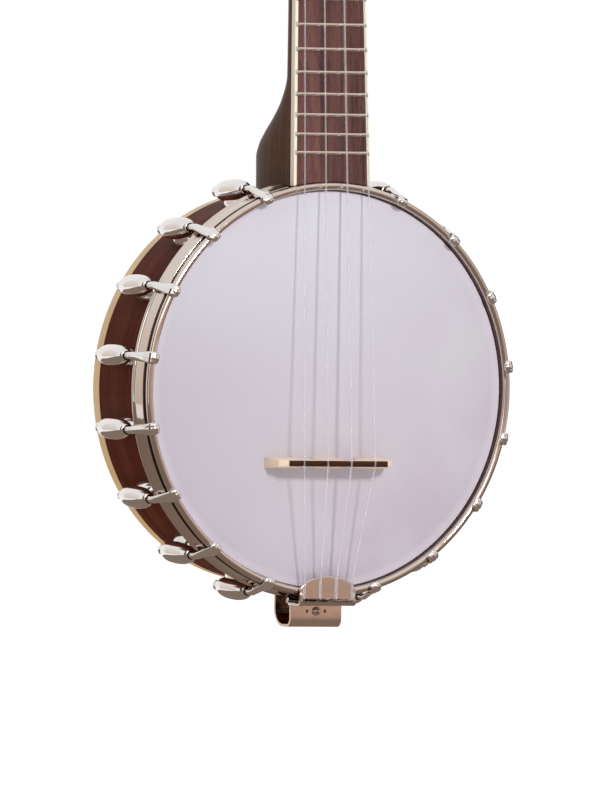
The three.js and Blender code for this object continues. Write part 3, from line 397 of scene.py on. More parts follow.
class Form:
    """A mesh under construction, changed by modifiers that are applied at once."""

    def __init__(self, solid: Solid) -> None:
        """Starts from a solid."""
        self.body = self._object(solid)

    @staticmethod
    def _object(solid: Solid) -> bpy.types.Object:
        """A loose object with the solid's mesh, its normals outward.

        Args:
            solid: The solid.

        Returns:
            The object.
        """
        mesh = bpy.data.meshes.new("form")
        mesh.from_pydata(solid.points, [], solid.faces)
        work = bmesh.new()
        work.from_mesh(mesh)
        bmesh.ops.remove_doubles(work, verts=work.verts, dist=1e-5)
        bmesh.ops.recalc_face_normals(work, faces=work.faces)
        work.to_mesh(mesh)
        work.free()
        return linked("form", mesh)

    def _apply(self) -> "Form":
        """Replaces the mesh by what the modifiers make of it.

        Returns:
            This form.
        """
        bpy.context.view_layer.update()
        seen = self.body.evaluated_get(bpy.context.evaluated_depsgraph_get())
        made = bpy.data.meshes.new_from_object(seen)
        old = self.body.data
        self.body.modifiers.clear()
        self.body.data = made
        bpy.data.meshes.remove(old)
        return self

    def _boolean(self, operation: str, solids: Sequence[Solid]) -> "Form":
        """Cuts or joins other solids.

        Args:
            operation: DIFFERENCE or UNION.
            solids: The other solids.

        Returns:
            This form.
        """
        for solid in solids:
            tool = self._object(solid)
            change = self.body.modifiers.new("boolean", "BOOLEAN")
            change.operation, change.object, change.solver = operation, tool, "EXACT"
            self._apply()
            old = tool.data
            bpy.data.objects.remove(tool)
            bpy.data.meshes.remove(old)
        return self

    def cut(self, *solids: Solid) -> "Form":
        """Takes solids away."""
        return self._boolean("DIFFERENCE", solids)

    def join(self, *solids: Solid) -> "Form":
        """Adds solids."""
        return self._boolean("UNION", solids)

    def bevel(self, width: float, steps: int = 3, angle: float = 32.0) -> "Form":
        """Rounds the edges that are sharper than an angle in degrees.

        Args:
            width: Width of the rounding.
            steps: Its segments.
            angle: The angle in degrees.

        Returns:
            This form.
        """
        change = self.body.modifiers.new("bevel", "BEVEL")
        change.width, change.segments, change.limit_method = width, steps, "ANGLE"
        change.angle_limit, change.harden_normals = math.radians(angle), False
        change.use_clamp_overlap = True
        return self._apply()

    def solid(self) -> Solid:
        """The form as a plain solid, for joining to others.

        Returns:
            Its points and faces.
        """
        mesh = self.body.data
        made = Solid([v.co.copy() for v in mesh.vertices], [tuple(p.vertices) for p in mesh.polygons])
        bpy.data.objects.remove(self.body)
        bpy.data.meshes.remove(mesh)
        return made

    def mesh(self) -> bpy.types.Mesh:
        """The finished mesh, in metres.

        Returns:
            The mesh.
        """
        made = self.body.data
        bpy.data.objects.remove(self.body)
        made.transform(Matrix.Scale(MM, 4))
        return made


def linked(name: str, data: bpy.types.ID) -> bpy.types.Object:
    """A new object of the scene.

    Args:
        name: Its name.
        data: Its data.

    Returns:
        The object.
    """
    made = bpy.data.objects.new(name, data)
    bpy.context.scene.collection.objects.link(made)
    return made


# Finishes


def feed(tree: Tree, socket: Socket, value: object) -> None:
    """Links a value that is a socket to another socket, or sets it there.

    Args:
        tree: The node tree.
        socket: The socket fed.
        value: A socket or a plain value.
    """
    if isinstance(value, Socket):
        tree.links.new(value, socket)
    else:
        socket.default_value = value


class Graph:
    """A short way to write shader nodes."""

    def __init__(self, tree: Tree) -> None:
        """Writes into one node tree."""
        self.tree = tree

    def node(self, kind: str, inputs: dict | None = None, **settings: object) -> bpy.types.Node:
        """Adds a node.

        Args:
            kind: Blender's node type.
            inputs: Values or sockets for the node's inputs.
            settings: Values for the node's own properties.

        Returns:
            The new node.
        """
        made = self.tree.nodes.new(kind)
        for key, value in settings.items():
            setattr(made, key, value)
        for key, value in (inputs or {}).items():
            feed(self.tree, made.inputs[key], value)
        return made

    def math(self, operation: str, first: object, second: object = 0.0) -> Socket:
        """The result of a sum on two values."""
        return self.node("ShaderNodeMath", {0: first, 1: second}, operation=operation).outputs[0]

    def blend(self, share: object, first: object, second: object) -> Socket:
        """A colour between two colours."""
        made = self.node("ShaderNodeMix", {0: share, 6: first, 7: second}, data_type="RGBA")
        return made.outputs[2]

    def range(
        self, value: object, low: float, high: float, to_low: float = 0.0, to_high: float = 1.0
    ) -> Socket:
        """A value carried from one range to another, and kept inside it."""
        inputs = {"Value": value, "From Min": low, "From Max": high, "To Min": to_low, "To Max": to_high}
        return self.node("ShaderNodeMapRange", inputs).outputs[0]

    def noise(
        self, vector: object, scale: float, detail: float = 3.0, roughness: float = 0.5
    ) -> Socket:
        """A noise value."""
        inputs = {"Vector": vector, "Scale": scale, "Detail": detail, "Roughness": roughness}
        return self.node("ShaderNodeTexNoise", inputs).outputs[0]

    def stretch(self, vector: object, scale: Sequence[float]) -> Socket:
        """A place multiplied along each axis."""
        made = self.node("ShaderNodeVectorMath", {0: vector, 1: tuple(scale)}, operation="MULTIPLY")
        return made.outputs[0]


SocketSpec = tuple[str, str]


def node_group(
    name: str, inputs: Sequence[SocketSpec], outputs: Sequence[SocketSpec]
) -> tuple[Tree, Graph, bpy.types.Node, bpy.types.Node]:
    """An empty shader node group.

    Args:
        name: The group's name.
        inputs: Name and socket type of each input.
        outputs: Name and socket type of each output.

    Returns:
        The group, a graph that writes into it, and its input and output nodes.
    """
    tree = bpy.data.node_groups.new(name, "ShaderNodeTree")
    for label, kind in inputs:
        tree.interface.new_socket(label, in_out="INPUT", socket_type=kind)
    for label, kind in outputs:
        tree.interface.new_socket(label, in_out="OUTPUT", socket_type=kind)
    graph = Graph(tree)
    return tree, graph, graph.node("NodeGroupInput"), graph.node("NodeGroupOutput")


VECTOR, COLOUR, VALUE = "NodeSocketVector", "NodeSocketColor", "NodeSocketFloat"


def ring_place_group() -> Tree:
    """A group that unrolls a ring: (length round it, depth, radius) in metres.

    Returns:
        The node group.
    """
    tree, graph, given, result = node_group("ring_place", [("Place", VECTOR)], [("Unrolled", VECTOR)])
    parts = graph.node("ShaderNodeSeparateXYZ", {0: given.outputs["Place"]}).outputs
    angle = graph.math("ARCTAN2", parts["X"], graph.math("MULTIPLY", parts["Z"], -1.0))
    squares = graph.math("ADD", graph.math("POWER", parts["X"], 2.0), graph.math("POWER", parts["Z"], 2.0))
    radius = graph.math("SQRT", squares)
    length = graph.math("MULTIPLY", angle, radius)
    unrolled = graph.node("ShaderNodeCombineXYZ", {"X": length, "Y": parts["Y"], "Z": radius})
    graph.tree.links.new(unrolled.outputs[0], result.inputs["Unrolled"])
    return tree


def grain_group() -> Tree:
    """A group for wood whose grain runs along X: streaks, broad figure and fine pores.

    Returns:
        The node group.
    """
    inputs = [("Place", VECTOR), ("Light", COLOUR), ("Dark", COLOUR), ("Pore", COLOUR), ("Figure", VALUE)]
    tree, graph, given, result = node_group("wood_grain", inputs, [("Color", COLOUR), ("Height", VALUE)])
    wander, wander_reach = (6, 25, 25), (0.0, 0.004, 0.004)
    streak, figure, curl, pore = (9, 420, 420), (5, 90, 90), (160, 18, 18), (110, 2600, 2600)
    streak_share, figure_share, streak_relief = 0.55, 0.45, 0.4
    place = given.outputs["Place"]
    warp = graph.noise(graph.stretch(place, wander), 1.0, 2.0)
    shift = graph.stretch(warp, wander_reach)
    bent = graph.node("ShaderNodeVectorMath", {0: place, 1: shift}, operation="ADD").outputs[0]
    streaks = graph.noise(graph.stretch(bent, streak), 1.0, 4.0, 0.6)
    broad = graph.noise(graph.stretch(bent, figure), 1.0, 2.0)
    shade = graph.math(
        "ADD", graph.math("MULTIPLY", streaks, streak_share), graph.math("MULTIPLY", broad, figure_share)
    )
    share = graph.range(shade, 0.36, 0.64)
    curls = graph.math("SUBTRACT", graph.noise(graph.stretch(place, curl), 1.0, 1.0), 0.5)
    figured = graph.math("ADD", share, graph.math("MULTIPLY", curls, given.outputs["Figure"]))
    mix = graph.range(figured, 0.0, 1.0)
    colour = graph.blend(mix, given.outputs["Dark"], given.outputs["Light"])
    pores = graph.noise(graph.stretch(bent, pore), 1.0, 1.0)
    pore_mask = graph.range(pores, 0.60, 0.70, 0.0, 0.7)
    colour = graph.blend(pore_mask, colour, given.outputs["Pore"])
    height = graph.math("SUBTRACT", graph.math("MULTIPLY", streaks, streak_relief), pore_mask)
    graph.tree.links.new(colour, result.inputs["Color"])
    graph.tree.links.new(height, result.inputs["Height"])
    return tree


def wear_group() -> Tree:
    """A group for polished surfaces: a roughness with smears and hairlines, and their height.

    Returns:
        The node group.
    """
    inputs = [("Place", VECTOR), ("Smooth", VALUE), ("Rough", VALUE)]
    outputs = [("Roughness", VALUE), ("Height", VALUE)]
    tree, graph, given, result = node_group("handling_wear", inputs, outputs)
    smear, hair, wave = (90, 60, 140), (5200, 420, 900), 230.0
    wave_relief, hair_relief = 0.7, 0.15
    place = given.outputs["Place"]
    smears = graph.noise(graph.stretch(place, smear), 1.0, 4.0, 0.6)
    hairs = graph.noise(graph.stretch(place, hair), 1.0, 2.0)
    waves = graph.noise(place, wave, 2.0)
    smeared, scratched = graph.range(smears, 0.45, 0.72, 0.0, 0.75), graph.range(hairs, 0.62, 0.78, 0.0, 0.35)
    share = graph.math("ADD", smeared, scratched)
    spread = graph.math("SUBTRACT", given.outputs["Rough"], given.outputs["Smooth"])
    roughness = graph.math("ADD", given.outputs["Smooth"], graph.math("MULTIPLY", share, spread))
    height = graph.math(
        "ADD", graph.math("MULTIPLY", waves, wave_relief), graph.math("MULTIPLY", hairs, hair_relief)
    )
    graph.tree.links.new(roughness, result.inputs["Roughness"])
    graph.tree.links.new(height, result.inputs["Height"])
    return tree


def mottle_group() -> Tree:
    """A group for sheet and cast plastics: two colours in soft clouds, with a fine surface grain.

    Returns:
        The node group.
    """
    inputs = [("Place", VECTOR), ("First", COLOUR), ("Second", COLOUR), ("Scale", VALUE)]
    tree, graph, given, result = node_group("cloudy_tint", inputs, [("Color", COLOUR), ("Height", VALUE)])
    fine_grain = 2600.0
    inputs = {0: given.outputs["Place"], "Scale": given.outputs["Scale"]}
    scaled = graph.node("ShaderNodeVectorMath", inputs, operation="SCALE").outputs[0]
    share = graph.range(graph.noise(scaled, 1.0, 3.0, 0.55), 0.35, 0.65)
    colour = graph.blend(share, given.outputs["First"], given.outputs["Second"])
    fine = graph.noise(given.outputs["Place"], fine_grain, 2.0, 0.6)
    graph.tree.links.new(colour, result.inputs["Color"])
    graph.tree.links.new(fine, result.inputs["Height"])
    return tree


class Groups:
    """The shared node groups, each made once."""

    ring_place = ring_place_group()
    grain = grain_group()
    wear = wear_group()
    mottle = mottle_group()


class Grain(Enum):
    """How a piece's coordinates turn into grain coordinates."""

    ALONG_X = "along_x"
    ALONG_Z = "along_z"
    ROUND_RING = "round_ring"


class Finish:
    """A material with a name, and a slot's name that it keeps but that nothing uses."""

    def __init__(self, name: str, slot: str) -> None:
        """Makes an empty material with a principled shader.

        Args:
            name: The material's name.
            slot: The material slot.
        """
        self.slot = slot
        self.material = bpy.data.materials.new(name)
        self.material.use_nodes = True
        self.graph = Graph(self.material.node_tree)
        self.shader = self.material.node_tree.nodes["Principled BSDF"]
        self.place = self.graph.node("ShaderNodeTexCoord").outputs["Object"]

    def group(self, tree: Tree, inputs: dict) -> bpy.types.Node:
        """Uses a shared node group."""
        return self.graph.node("ShaderNodeGroup", inputs, node_tree=tree)

    def set(self, **values: object) -> None:
        """Sets the shader's inputs to values or sockets; underscores stand for spaces."""
        for key, value in values.items():
            feed(self.graph.tree, self.shader.inputs[key.replace("_", " ")], value)

    def bump(self, height: Socket, strength: float, distance: float) -> None:
        """Gives the surface relief from a height in metres."""
        inputs = {"Height": height, "Strength": strength, "Distance": distance}
        self.set(Normal=self.graph.node("ShaderNodeBump", inputs).outputs[0])

    def along(self, grain: Grain) -> Socket:
        """The piece's coordinates, turned so that the grain runs along X.

        Args:
            grain: The grain's direction.

        Returns:
            The turned coordinates.
        """
        if grain is Grain.ROUND_RING:
            return self.group(Groups.ring_place, {"Place": self.place}).outputs["Unrolled"]
        if grain is Grain.ALONG_Z:
            parts = self.graph.node("ShaderNodeSeparateXYZ", {0: self.place}).outputs
            inputs = {"X": parts["Z"], "Y": parts["Y"], "Z": parts["X"]}
            return self.graph.node("ShaderNodeCombineXYZ", inputs).outputs[0]
        return self.place


@dataclass(frozen=True)
class Metal:
    """Plated metal with smears and hairlines.

    Args:
        name: The material's name.
        colour: Colour of its reflections.
        smooth: Roughness where it is clean.
        rough: Roughness where it is handled.
    """

    name: str
    colour: Tint
    smooth: float = 0.07
    rough: float = 0.24

    def made(self, slot: str) -> Finish:
        """The finish for a slot.

        Args:
            slot: The material slot.

        Returns:
            The finish.
        """
        finish = Finish(self.name, slot)
        inputs = {"Place": finish.place, "Smooth": self.smooth, "Rough": self.rough}
        wear = finish.group(Groups.wear, inputs)
        finish.set(Base_Color=self.colour, Metallic=1.0, Roughness=wear.outputs["Roughness"])
        finish.bump(wear.outputs["Height"], strength=0.12, distance=0.0003)
        return finish


@dataclass(frozen=True)
class Wood:
    """Wood with streaks, pores and an optional lacquer.

    Args:
        name: The material's name.
        light: Colour of the light wood between the streaks.
        dark: Colour of the streaks.
        pore: Colour of the pores.
        grain: Which way the grain runs.
        roughness: Roughness of the bare wood.
        lacquer: Weight of the clear coat.
        relief: Depth of the grain in metres.
        figure: Strength of the figure across the grain.
        sheen: Level of the wood's own reflection.
    """

    name: str
    light: Tint
    dark: Tint
    pore: Tint
    grain: Grain
    roughness: float = 0.45
    lacquer: float = 0.0
    relief: float = 0.00012
    figure: float = 0.3
    sheen: float = 0.05

    def made(self, slot: str) -> Finish:
        """The finish for a slot.

        Args:
            slot: The material slot.

        Returns:
            The finish.
        """
        finish = Finish(self.name, slot)
        inputs = {
            "Place": finish.along(self.grain),
            "Light": self.light,
            "Dark": self.dark,
            "Pore": self.pore,
            "Figure": self.figure,
        }
        wood = finish.group(Groups.grain, inputs)
        finish.set(Base_Color=wood.outputs["Color"], Roughness=self.roughness)
        finish.set(Coat_Weight=self.lacquer, Coat_Roughness=0.12, Specular_IOR_Level=self.sheen)
        finish.bump(wood.outputs["Height"], strength=0.35, distance=self.relief)
        return finish


@dataclass(frozen=True)
class Plastic:
    """Cast or sheet plastic, bone or nylon, in two clouded tints.

    Args:
        name: The material's name.
        first: One tint.
        second: The other tint.
        scale: Clouds in a metre.
        roughness: Roughness of the surface.
        relief: Depth of the fine surface grain in metres.
        coat: Weight of a polished coat.
        subsurface: Share of light that scatters inside.
        transmission: Share of light that passes through.
        index: How strongly it bends light.
    """

    name: str
    first: Tint
    second: Tint
    scale: float = 40.0
    roughness: float = 0.35
    relief: float = 0.00002
    coat: float = 0.0
    subsurface: float = 0.0
    transmission: float = 0.0
    index: float = 1.45

    def made(self, slot: str) -> Finish:
        """The finish for a slot.

        Args:
            slot: The material slot.

        Returns:
            The finish.
        """
        finish = Finish(self.name, slot)
        inputs = {"Place": finish.place, "First": self.first, "Second": self.second, "Scale": self.scale}
        tint = finish.group(Groups.mottle, inputs)
        finish.set(Base_Color=tint.outputs["Color"], Roughness=self.roughness, Coat_Weight=self.coat)
        finish.set(Subsurface_Weight=self.subsurface, Subsurface_Scale=0.001)
        finish.set(Transmission_Weight=self.transmission, IOR=self.index)
        finish.bump(tint.outputs["Height"], strength=0.3, distance=self.relief)
        return finish


@dataclass(frozen=True)
class HeadFilm:
    """Frosted drum film with soft clouds, cool at the top; painted shade darkens and warms it towards the
    lower right and over the left half.

    Args:
        name: The material's name.
        cool: Tint at the top, the lit end of the painted shade.
        warm: Darker tint at the bottom, painted shade.
        cloud: Tint of the clouds.
        shade: Painted shade over the left half below the top.
        edge: Tint beside the hoop.
    """

    name: str
    cool: Tint
    warm: Tint
    cloud: Tint
    shade: Tint
    edge: Tint

    def made(self, slot: str) -> Finish:
        """The finish for a slot.

        Args:
            slot: The material slot.

        Returns:
            The finish.
        """
        finish = Finish(self.name, slot)
        graph = finish.graph
        parts = graph.node("ShaderNodeSeparateXYZ", {0: finish.place}).outputs
        across, up, slope = parts["X"], parts["Z"], 0.55
        cloud_scale, frost_scale = 22.0, 1900.0
        slant = graph.math("SUBTRACT", up, graph.math("MULTIPLY", across, slope))
        # Painted shade: the film turns darker and warmer from the top towards the lower right.
        tint = graph.blend(graph.range(slant, -0.095, 0.09), self.warm, self.cool)
        clouds = graph.range(graph.noise(finish.place, cloud_scale, 3.0, 0.5), 0.42, 0.66, 0.0, 0.5)
        tint = graph.blend(clouds, tint, self.cloud)
        # Painted shade over the left half below the top.
        left, low = graph.range(across, 0.01, -0.08, 0.0, 0.8), graph.range(up, 0.075, 0.0)
        tint = graph.blend(graph.math("MULTIPLY", left, low), tint, self.shade)
        squares = graph.math("ADD", graph.math("POWER", across, 2.0), graph.math("POWER", up, 2.0))
        rim = graph.range(graph.math("SQRT", squares), 0.0975, 0.1022)
        finish.set(Base_Color=graph.blend(rim, tint, self.edge), Roughness=0.5, Specular_IOR_Level=0.3)
        frost = graph.noise(finish.place, frost_scale, 2.0, 0.7)
        finish.bump(frost, strength=0.25, distance=0.00003)
        return finish


# Placing


@dataclass(frozen=True)
class Fit:
    """Sizes that more than one sub-assembly is built to, in millimetres and degrees.

    Args:
        gap: A hair's clearance between faces that touch.
        rim_radius: Outside of the rim.
        rim_inside: Inside of the rim.
        rim_front: Depth of its bearing edge.
        bead_centre: Radius of the middle of the hoop's bead.
        rod_depth: Depth of the coordinator rod.
        slit: Height of the cover's slit for the strings.
        cover_front: Depth of the cover's front.
        cover_top: Height of its crown.
        bridge: Height of the bridge.
        diameters: The strings, from the left.
        bridge_spread: The outer strings' distance at the bridge.
        nut_spread: The same at the nut.
        nut_floor: Depth of the strings in the nut.
        board: Thickness of the fretboard.
        board_foot: Distance of its foot from the drum's axis.
        board_length: Its length up to the nut.
        neck_front: Depth of the neck's frame at the drum.
        neck_lean: How far the neck leans back.
        headstock_foot: Height of the headstock's foot along the neck.
        headstock_lean: Angle of the headstock to the neck.
        headstock: Thickness of the headstock.
        post_x: Distance of the tuner posts from the middle.
        rows: Heights of the lower and upper posts along the headstock.
        post_bore: Radius of the bore round a post.
    """

    gap: float = 0.02
    rim_radius: float = 102.0
    rim_inside: float = 92.5
    rim_front: float = 3.4
    bead_centre: float = 105.4
    rod_depth: float = 35.0
    slit: float = -108.7
    cover_front: float = -3.95
    cover_top: float = -96.4
    bridge: float = -38.0
    diameters: tuple[float, ...] = (0.72, 0.82, 1.02, 0.72)
    bridge_spread: float = 42.0
    nut_spread: float = 30.5
    nut_floor: float = -1.8
    board: float = 4.0
    board_foot: float = 107.65
    board_length: float = 235.673
    neck_front: float = 0.6
    neck_lean: float = 3.0
    headstock_foot: float = 240.973
    headstock_lean: float = 13.0
    headstock: float = 13.0
    post_x: float = 17.5
    rows: tuple[float, float] = (34.0, 76.0)
    post_bore: float = 3.3


FIT = Fit()


@dataclass(frozen=True)
class Frames:
    """Where the drum, neck and headstock stand, as matrices in millimetres from the drum's centre.

    Args:
        origin: The drum's centre in the row frame, in metres.
        neck: The neck's frame.
        headstock: The headstock's frame.
    """

    origin: Vector
    neck: Matrix
    headstock: Matrix

    @staticmethod
    def turned_about_drum(degrees: float) -> Matrix:
        """A turn about the drum's axis, clockwise as seen from the front."""
        return Matrix.Rotation(math.radians(degrees), 4, "Y")

    def world(self, local: Matrix) -> Matrix:
        """A frame in millimetres as an object's place in metres.

        Args:
            local: The frame in millimetres.

        Returns:
            The object's matrix.
        """
        made = local.copy()
        made.translation = self.origin + local.translation * MM
        return made


@dataclass
class Placer:
    """Turns meshes into pieces that ride on the model's bodies.

    Args:
        frames: Where the sub-assemblies stand.
    """

    frames: Frames

    def add(
        self,
        name: str,
        form: Form | Solid | bpy.types.Mesh,
        finish: Finish,
        place: Matrix | None = None,
        body: str = "body",
        node: str = "",
        sharp: float = 38.0,
    ) -> bpy.types.Object:
        """Adds one piece.

        Args:
            name: The piece's name.
            form: Its shape.
            finish: Its finish.
            place: Its frame in millimetres from the drum's centre.
            body: The body that it rides on.
            node: The node that it replaces, if that has another name than the piece.
            sharp: Edges sharper than this angle in degrees stay sharp.

        Returns:
            The piece.
        """
        frame_matrix = self.frames.world(place or Matrix.Identity(4))
        if isinstance(form, Solid):
            form = Form(form)
        if isinstance(form, Form):
            mesh = form.mesh()
            mesh.transform(frame_matrix.to_3x3().to_4x4())
            frame_matrix = Matrix.Translation(frame_matrix.translation)
        else:
            mesh = form
        mesh.name = name
        mesh.shade_smooth()
        mesh.set_sharp_from_angle(angle=math.radians(sharp))
        mesh.materials.clear()
        mesh.materials.append(finish.material)
        piece = linked(name, mesh)
        piece.matrix_world = frame_matrix
        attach(piece, body)
        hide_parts(node or name)
        LOG.info("%s rides on %s in %s", name, body, finish.material.name)
        return piece


class Palette:
    """Every finish of the instrument, each made once."""

    def __init__(self) -> None:
        """Makes the finishes."""
        self.nickel = Metal("nickel_plate", srgb(208, 196, 187), smooth=0.05, rough=0.2).made("nickel")
        # A lighter, more neutral copy of the nickel for hooks, their nuts and shoes: painted highlight.
        self.painted_highlight_nickel = Metal(
            "painted_highlight_nickel", srgb(226, 222, 220), smooth=0.04, rough=0.16
        ).made("nickel")
        # Dark, rough nickel on the hoop's inner wall and groove: painted shade.
        self.shade_nickel = Metal("painted_shade_nickel", srgb(92, 74, 67), smooth=0.3, rough=0.6).made("nickel")
        self.rim_wood = Wood(
            "stained_rim", srgb(116, 56, 36), srgb(88, 36, 20), srgb(52, 20, 12), Grain.ROUND_RING,
            roughness=0.42, lacquer=0.03, relief=0.00003, figure=0.4, sheen=0.02,
        ).made("rim_wood")
        self.binding = Plastic(
            "cream_binding", srgb(250, 206, 144), srgb(254, 216, 160),
            scale=60.0, roughness=0.34, relief=0.00001, coat=0.03,
        ).made("binding")
        self.board_cream = Plastic(
            "board_cream", srgb(255, 240, 214), srgb(255, 246, 224),
            scale=60.0, roughness=0.34, relief=0.00001, coat=0.05,
        ).made("rosewood")
        self.sheet_nickel = Metal("sheet_nickel", srgb(226, 208, 194), smooth=0.14, rough=0.34).made("nickel")
        # The film's tints paint shade onto it: darker towards the lower right and over the left half.
        self.head = HeadFilm(
            "frosted_film",
            cool=srgb(217, 215, 224),
            warm=srgb(200, 188, 200),
            cloud=srgb(212, 209, 212),
            shade=srgb(199, 190, 201),
            edge=srgb(226, 216, 226),
        ).made("head_film")
        self.neck_wood = Wood(
            "stained_neck", srgb(104, 70, 48), srgb(74, 46, 28), srgb(40, 24, 14), Grain.ALONG_Z,
            roughness=0.4, lacquer=0.04, relief=0.00005, figure=0.25, sheen=0.04,
        ).made("neck_wood")
        self.rosewood = Wood(
            "rosewood", srgb(118, 80, 74), srgb(74, 48, 44), srgb(42, 26, 24), Grain.ALONG_Z,
            roughness=0.5, relief=0.00012, figure=0.1, sheen=0.15,
        ).made("rosewood")
        self.bone = Plastic(
            "bone", srgb(238, 230, 208), srgb(226, 216, 190), scale=160.0, roughness=0.38, relief=0.00003
        ).made("bone")
        self.maple = Wood(
            "bare_maple", srgb(255, 236, 212), srgb(255, 226, 198), srgb(232, 190, 158), Grain.ALONG_X,
            roughness=0.5, relief=0.00004, figure=0.35, sheen=0.2,
        ).made("maple")
        self.ebony = Wood(
            "ebony", srgb(76, 48, 34), srgb(48, 28, 20), srgb(24, 14, 10), Grain.ALONG_X,
            relief=0.00005, figure=0.1, sheen=0.1,
        ).made("ebony")
        self.nylon = Plastic(
            "clear_nylon", srgb(250, 250, 252), srgb(242, 242, 248),
            scale=300.0, roughness=0.2, relief=0.0, transmission=0.8, index=1.2,
        ).made("nylon")
        self.pearl = Plastic(
            "pearl_plastic", srgb(240, 236, 228), srgb(206, 200, 196),
            scale=190.0, roughness=0.2, relief=0.00001, coat=0.6, subsurface=0.15,
        ).made("pearl")


# Drum


@dataclass
class Drum:
    """Rim, binding, head and tension hoop.

    Args:
        rim_back: Depth of the rim's back edge.
        binding_width: Height of the binding on the rim's side.
        binding_thickness: Thickness of the binding.
        film_front: Depth of the head's front.
        film: Thickness of the head's film.
        bead: Radius of the hoop's bead.
        skin: How far the painted-shade strips stand proud of the bead.
        sink: How deep they reach into it.
        skirt_back: Depth of the skirt's back edge.
        notch_width: Width of the notch for the neck.
    """

    rim_back: float = 68.0
    binding_width: float = 7.0
    binding_thickness: float = 2.0
    film_front: float = 2.7
    film: float = 0.4
    bead: float = 1.95
    skin: float = 0.03
    sink: float = 0.2
    skirt_back: float = 13.6
    notch_width: float = 47.7

    def rim(self) -> Solid:
        """The rim with a rounded bearing edge and a step for the binding.

        Returns:
            The closed body.
        """
        step = FIT.rim_radius - self.binding_thickness - FIT.gap
        shoulder = self.rim_back - self.binding_width - FIT.gap
        inner, outer, front, back = FIT.rim_inside, FIT.rim_radius, FIT.rim_front, self.rim_back
        outline = [(inner, front), (outer, front), (outer, shoulder)]
        outline += [(step, shoulder), (step, back), (inner, back)]
        easing = [1.8, 1.6, 0.0, 0.0, 0.0, 0.7]
        return turned(rounded(outline, easing), RIM_STEPS)

    def binding(self) -> Solid:
        """The binding, flush with the rim, its corner eased.

        Returns:
            The closed body.
        """
        low, high = self.rim_back - self.binding_width, self.rim_back
        inner, outer, corner = FIT.rim_radius - self.binding_thickness, FIT.rim_radius, 0.6
        outline = [(inner, low), (outer, low), (outer, high), (inner, high)]
        return turned(rounded(outline, [0.0, 0.0, corner, 0.0]), RIM_STEPS)

    def film_body(self) -> Solid:
        """The film, folded over the bearing edge into its collar.

        Returns:
            The closed body.
        """
        edge, collar, foot = FIT.rim_radius + 0.82, FIT.rim_radius + 0.3, 7.4
        fold, inner_fold = 0.35, 0.2
        front, back = self.film_front, self.film_front + self.film
        outline = [
            *((edge * share, front) for share in (0.0, 0.25, 0.5, 0.75)),
            *rounded_corner((edge, front), fold, (-1, 0), (0, 1)),
            (edge, foot),
            (collar, foot),
            *reversed(rounded_corner((collar, back), inner_fold, (-1, 0), (0, 1))),
            *((edge * share, back) for share in (0.75, 0.5, 0.25, 0.0)),
        ]
        return turned(outline, RIM_STEPS)

    def flesh_hoop(self) -> Solid:
        """The channel ring that the collar is crimped into.

        Returns:
            The closed body.
        """
        inner, outer, front, back, corner = 102.85, 105.55, 5.65, 9.2, 0.6
        outline = [(inner, front), (outer, front), (outer, back), (inner, back)]
        return turned(rounded(outline, corner))

    def bead_arc(self, start: float, end: float, offset: float, steps: int) -> Profile:
        """Part of the bead's section, moved out by an offset, with angles in degrees."""
        return arc((FIT.bead_centre, 0.0), self.bead + offset, start, end, steps)

    def hoop_ring(self) -> Solid:
        """The bead with the ledge that presses on the flesh hoop."""
        ledge = [(106.35, 1.75), (106.15, 2.3), (106.05, 5.3), (103.3, 5.3), (103.3, 1.2)]
        return turned([*self.bead_arc(165, 395, 0.0, 28), *ledge], HOOP_STEPS)

    def hoop_ledge(self) -> Solid:
        """The hoop's inner wall beside the head, with a strip on the bead, dark with painted shade.

        Returns:
            The closed body.
        """
        wall = [(103.6, 1.4), (103.6, 5.2), (103.1, 5.3), (103.1, 1.4)]
        strip = [*self.bead_arc(166, 180, self.skin, 4), *self.bead_arc(180, 166, -self.sink, 4)]
        return turned([*strip, *wall], HOOP_STEPS)

    def hoop_groove(self) -> Solid:
        """The groove between the bead and the skirt, dark with painted shade.

        Returns:
            The closed body.
        """
        wall = [(106.65, 1.8), (106.6, 4.1), (106.0, 4.1)]
        outline = [*self.bead_arc(14, 40, self.skin, 6), *wall, *self.bead_arc(40, 14, -self.sink, 6)]
        return turned(outline, HOOP_STEPS)

    def hoop_skirt(self) -> Solid:
        """The flared skirt with its rounded back lip, open where the neck passes.

        Returns:
            The closed body.
        """
        inner, lip, lip_radius, mouth = 105.9, 1.3, 107.75, 106.8
        half_notch = math.degrees(math.asin(self.notch_width / 2 / mouth))
        front_edge, flare = [(inner, 3.9), (107.05, 3.6)], [(107.95, 10.1), (108.08, 10.8)]
        shoulder = rounded_corner((107.5, 3.6), 0.35, (-1, 0), (0.06, 1))
        back_edge = arc((lip_radius, self.skirt_back - lip), lip, -60, 110, 14)
        outline = [*front_edge, *shoulder, *flare, *back_edge, (106.9, self.skirt_back - 0.5), (inner, 10.2)]
        return turned(outline, SKIRT_STEPS, (half_notch, 360.0 - half_notch))

    def dress(self, placer: Placer, palette: Palette) -> None:
        """Adds the drum's pieces.

        Args:
            placer: Places each piece.
            palette: The finishes.
        """
        placer.add("rim", self.rim(), palette.rim_wood)
        placer.add("rim_binding", self.binding(), palette.binding)
        placer.add("head_film", self.film_body(), palette.head, node="head", sharp=60)
        placer.add("flesh_hoop", self.flesh_hoop(), palette.nickel, node="head")
        placer.add("tension_hoop_bead", self.hoop_ring(), palette.nickel, node="tension_hoop")
        # The hoop's ledge and groove wear painted shade.
        placer.add("tension_hoop_ledge", self.hoop_ledge(), palette.shade_nickel, node="tension_hoop")
        placer.add("tension_hoop_groove", self.hoop_groove(), palette.shade_nickel, node="tension_hoop")
        placer.add("tension_hoop_skirt", self.hoop_skirt(), palette.nickel, node="tension_hoop")


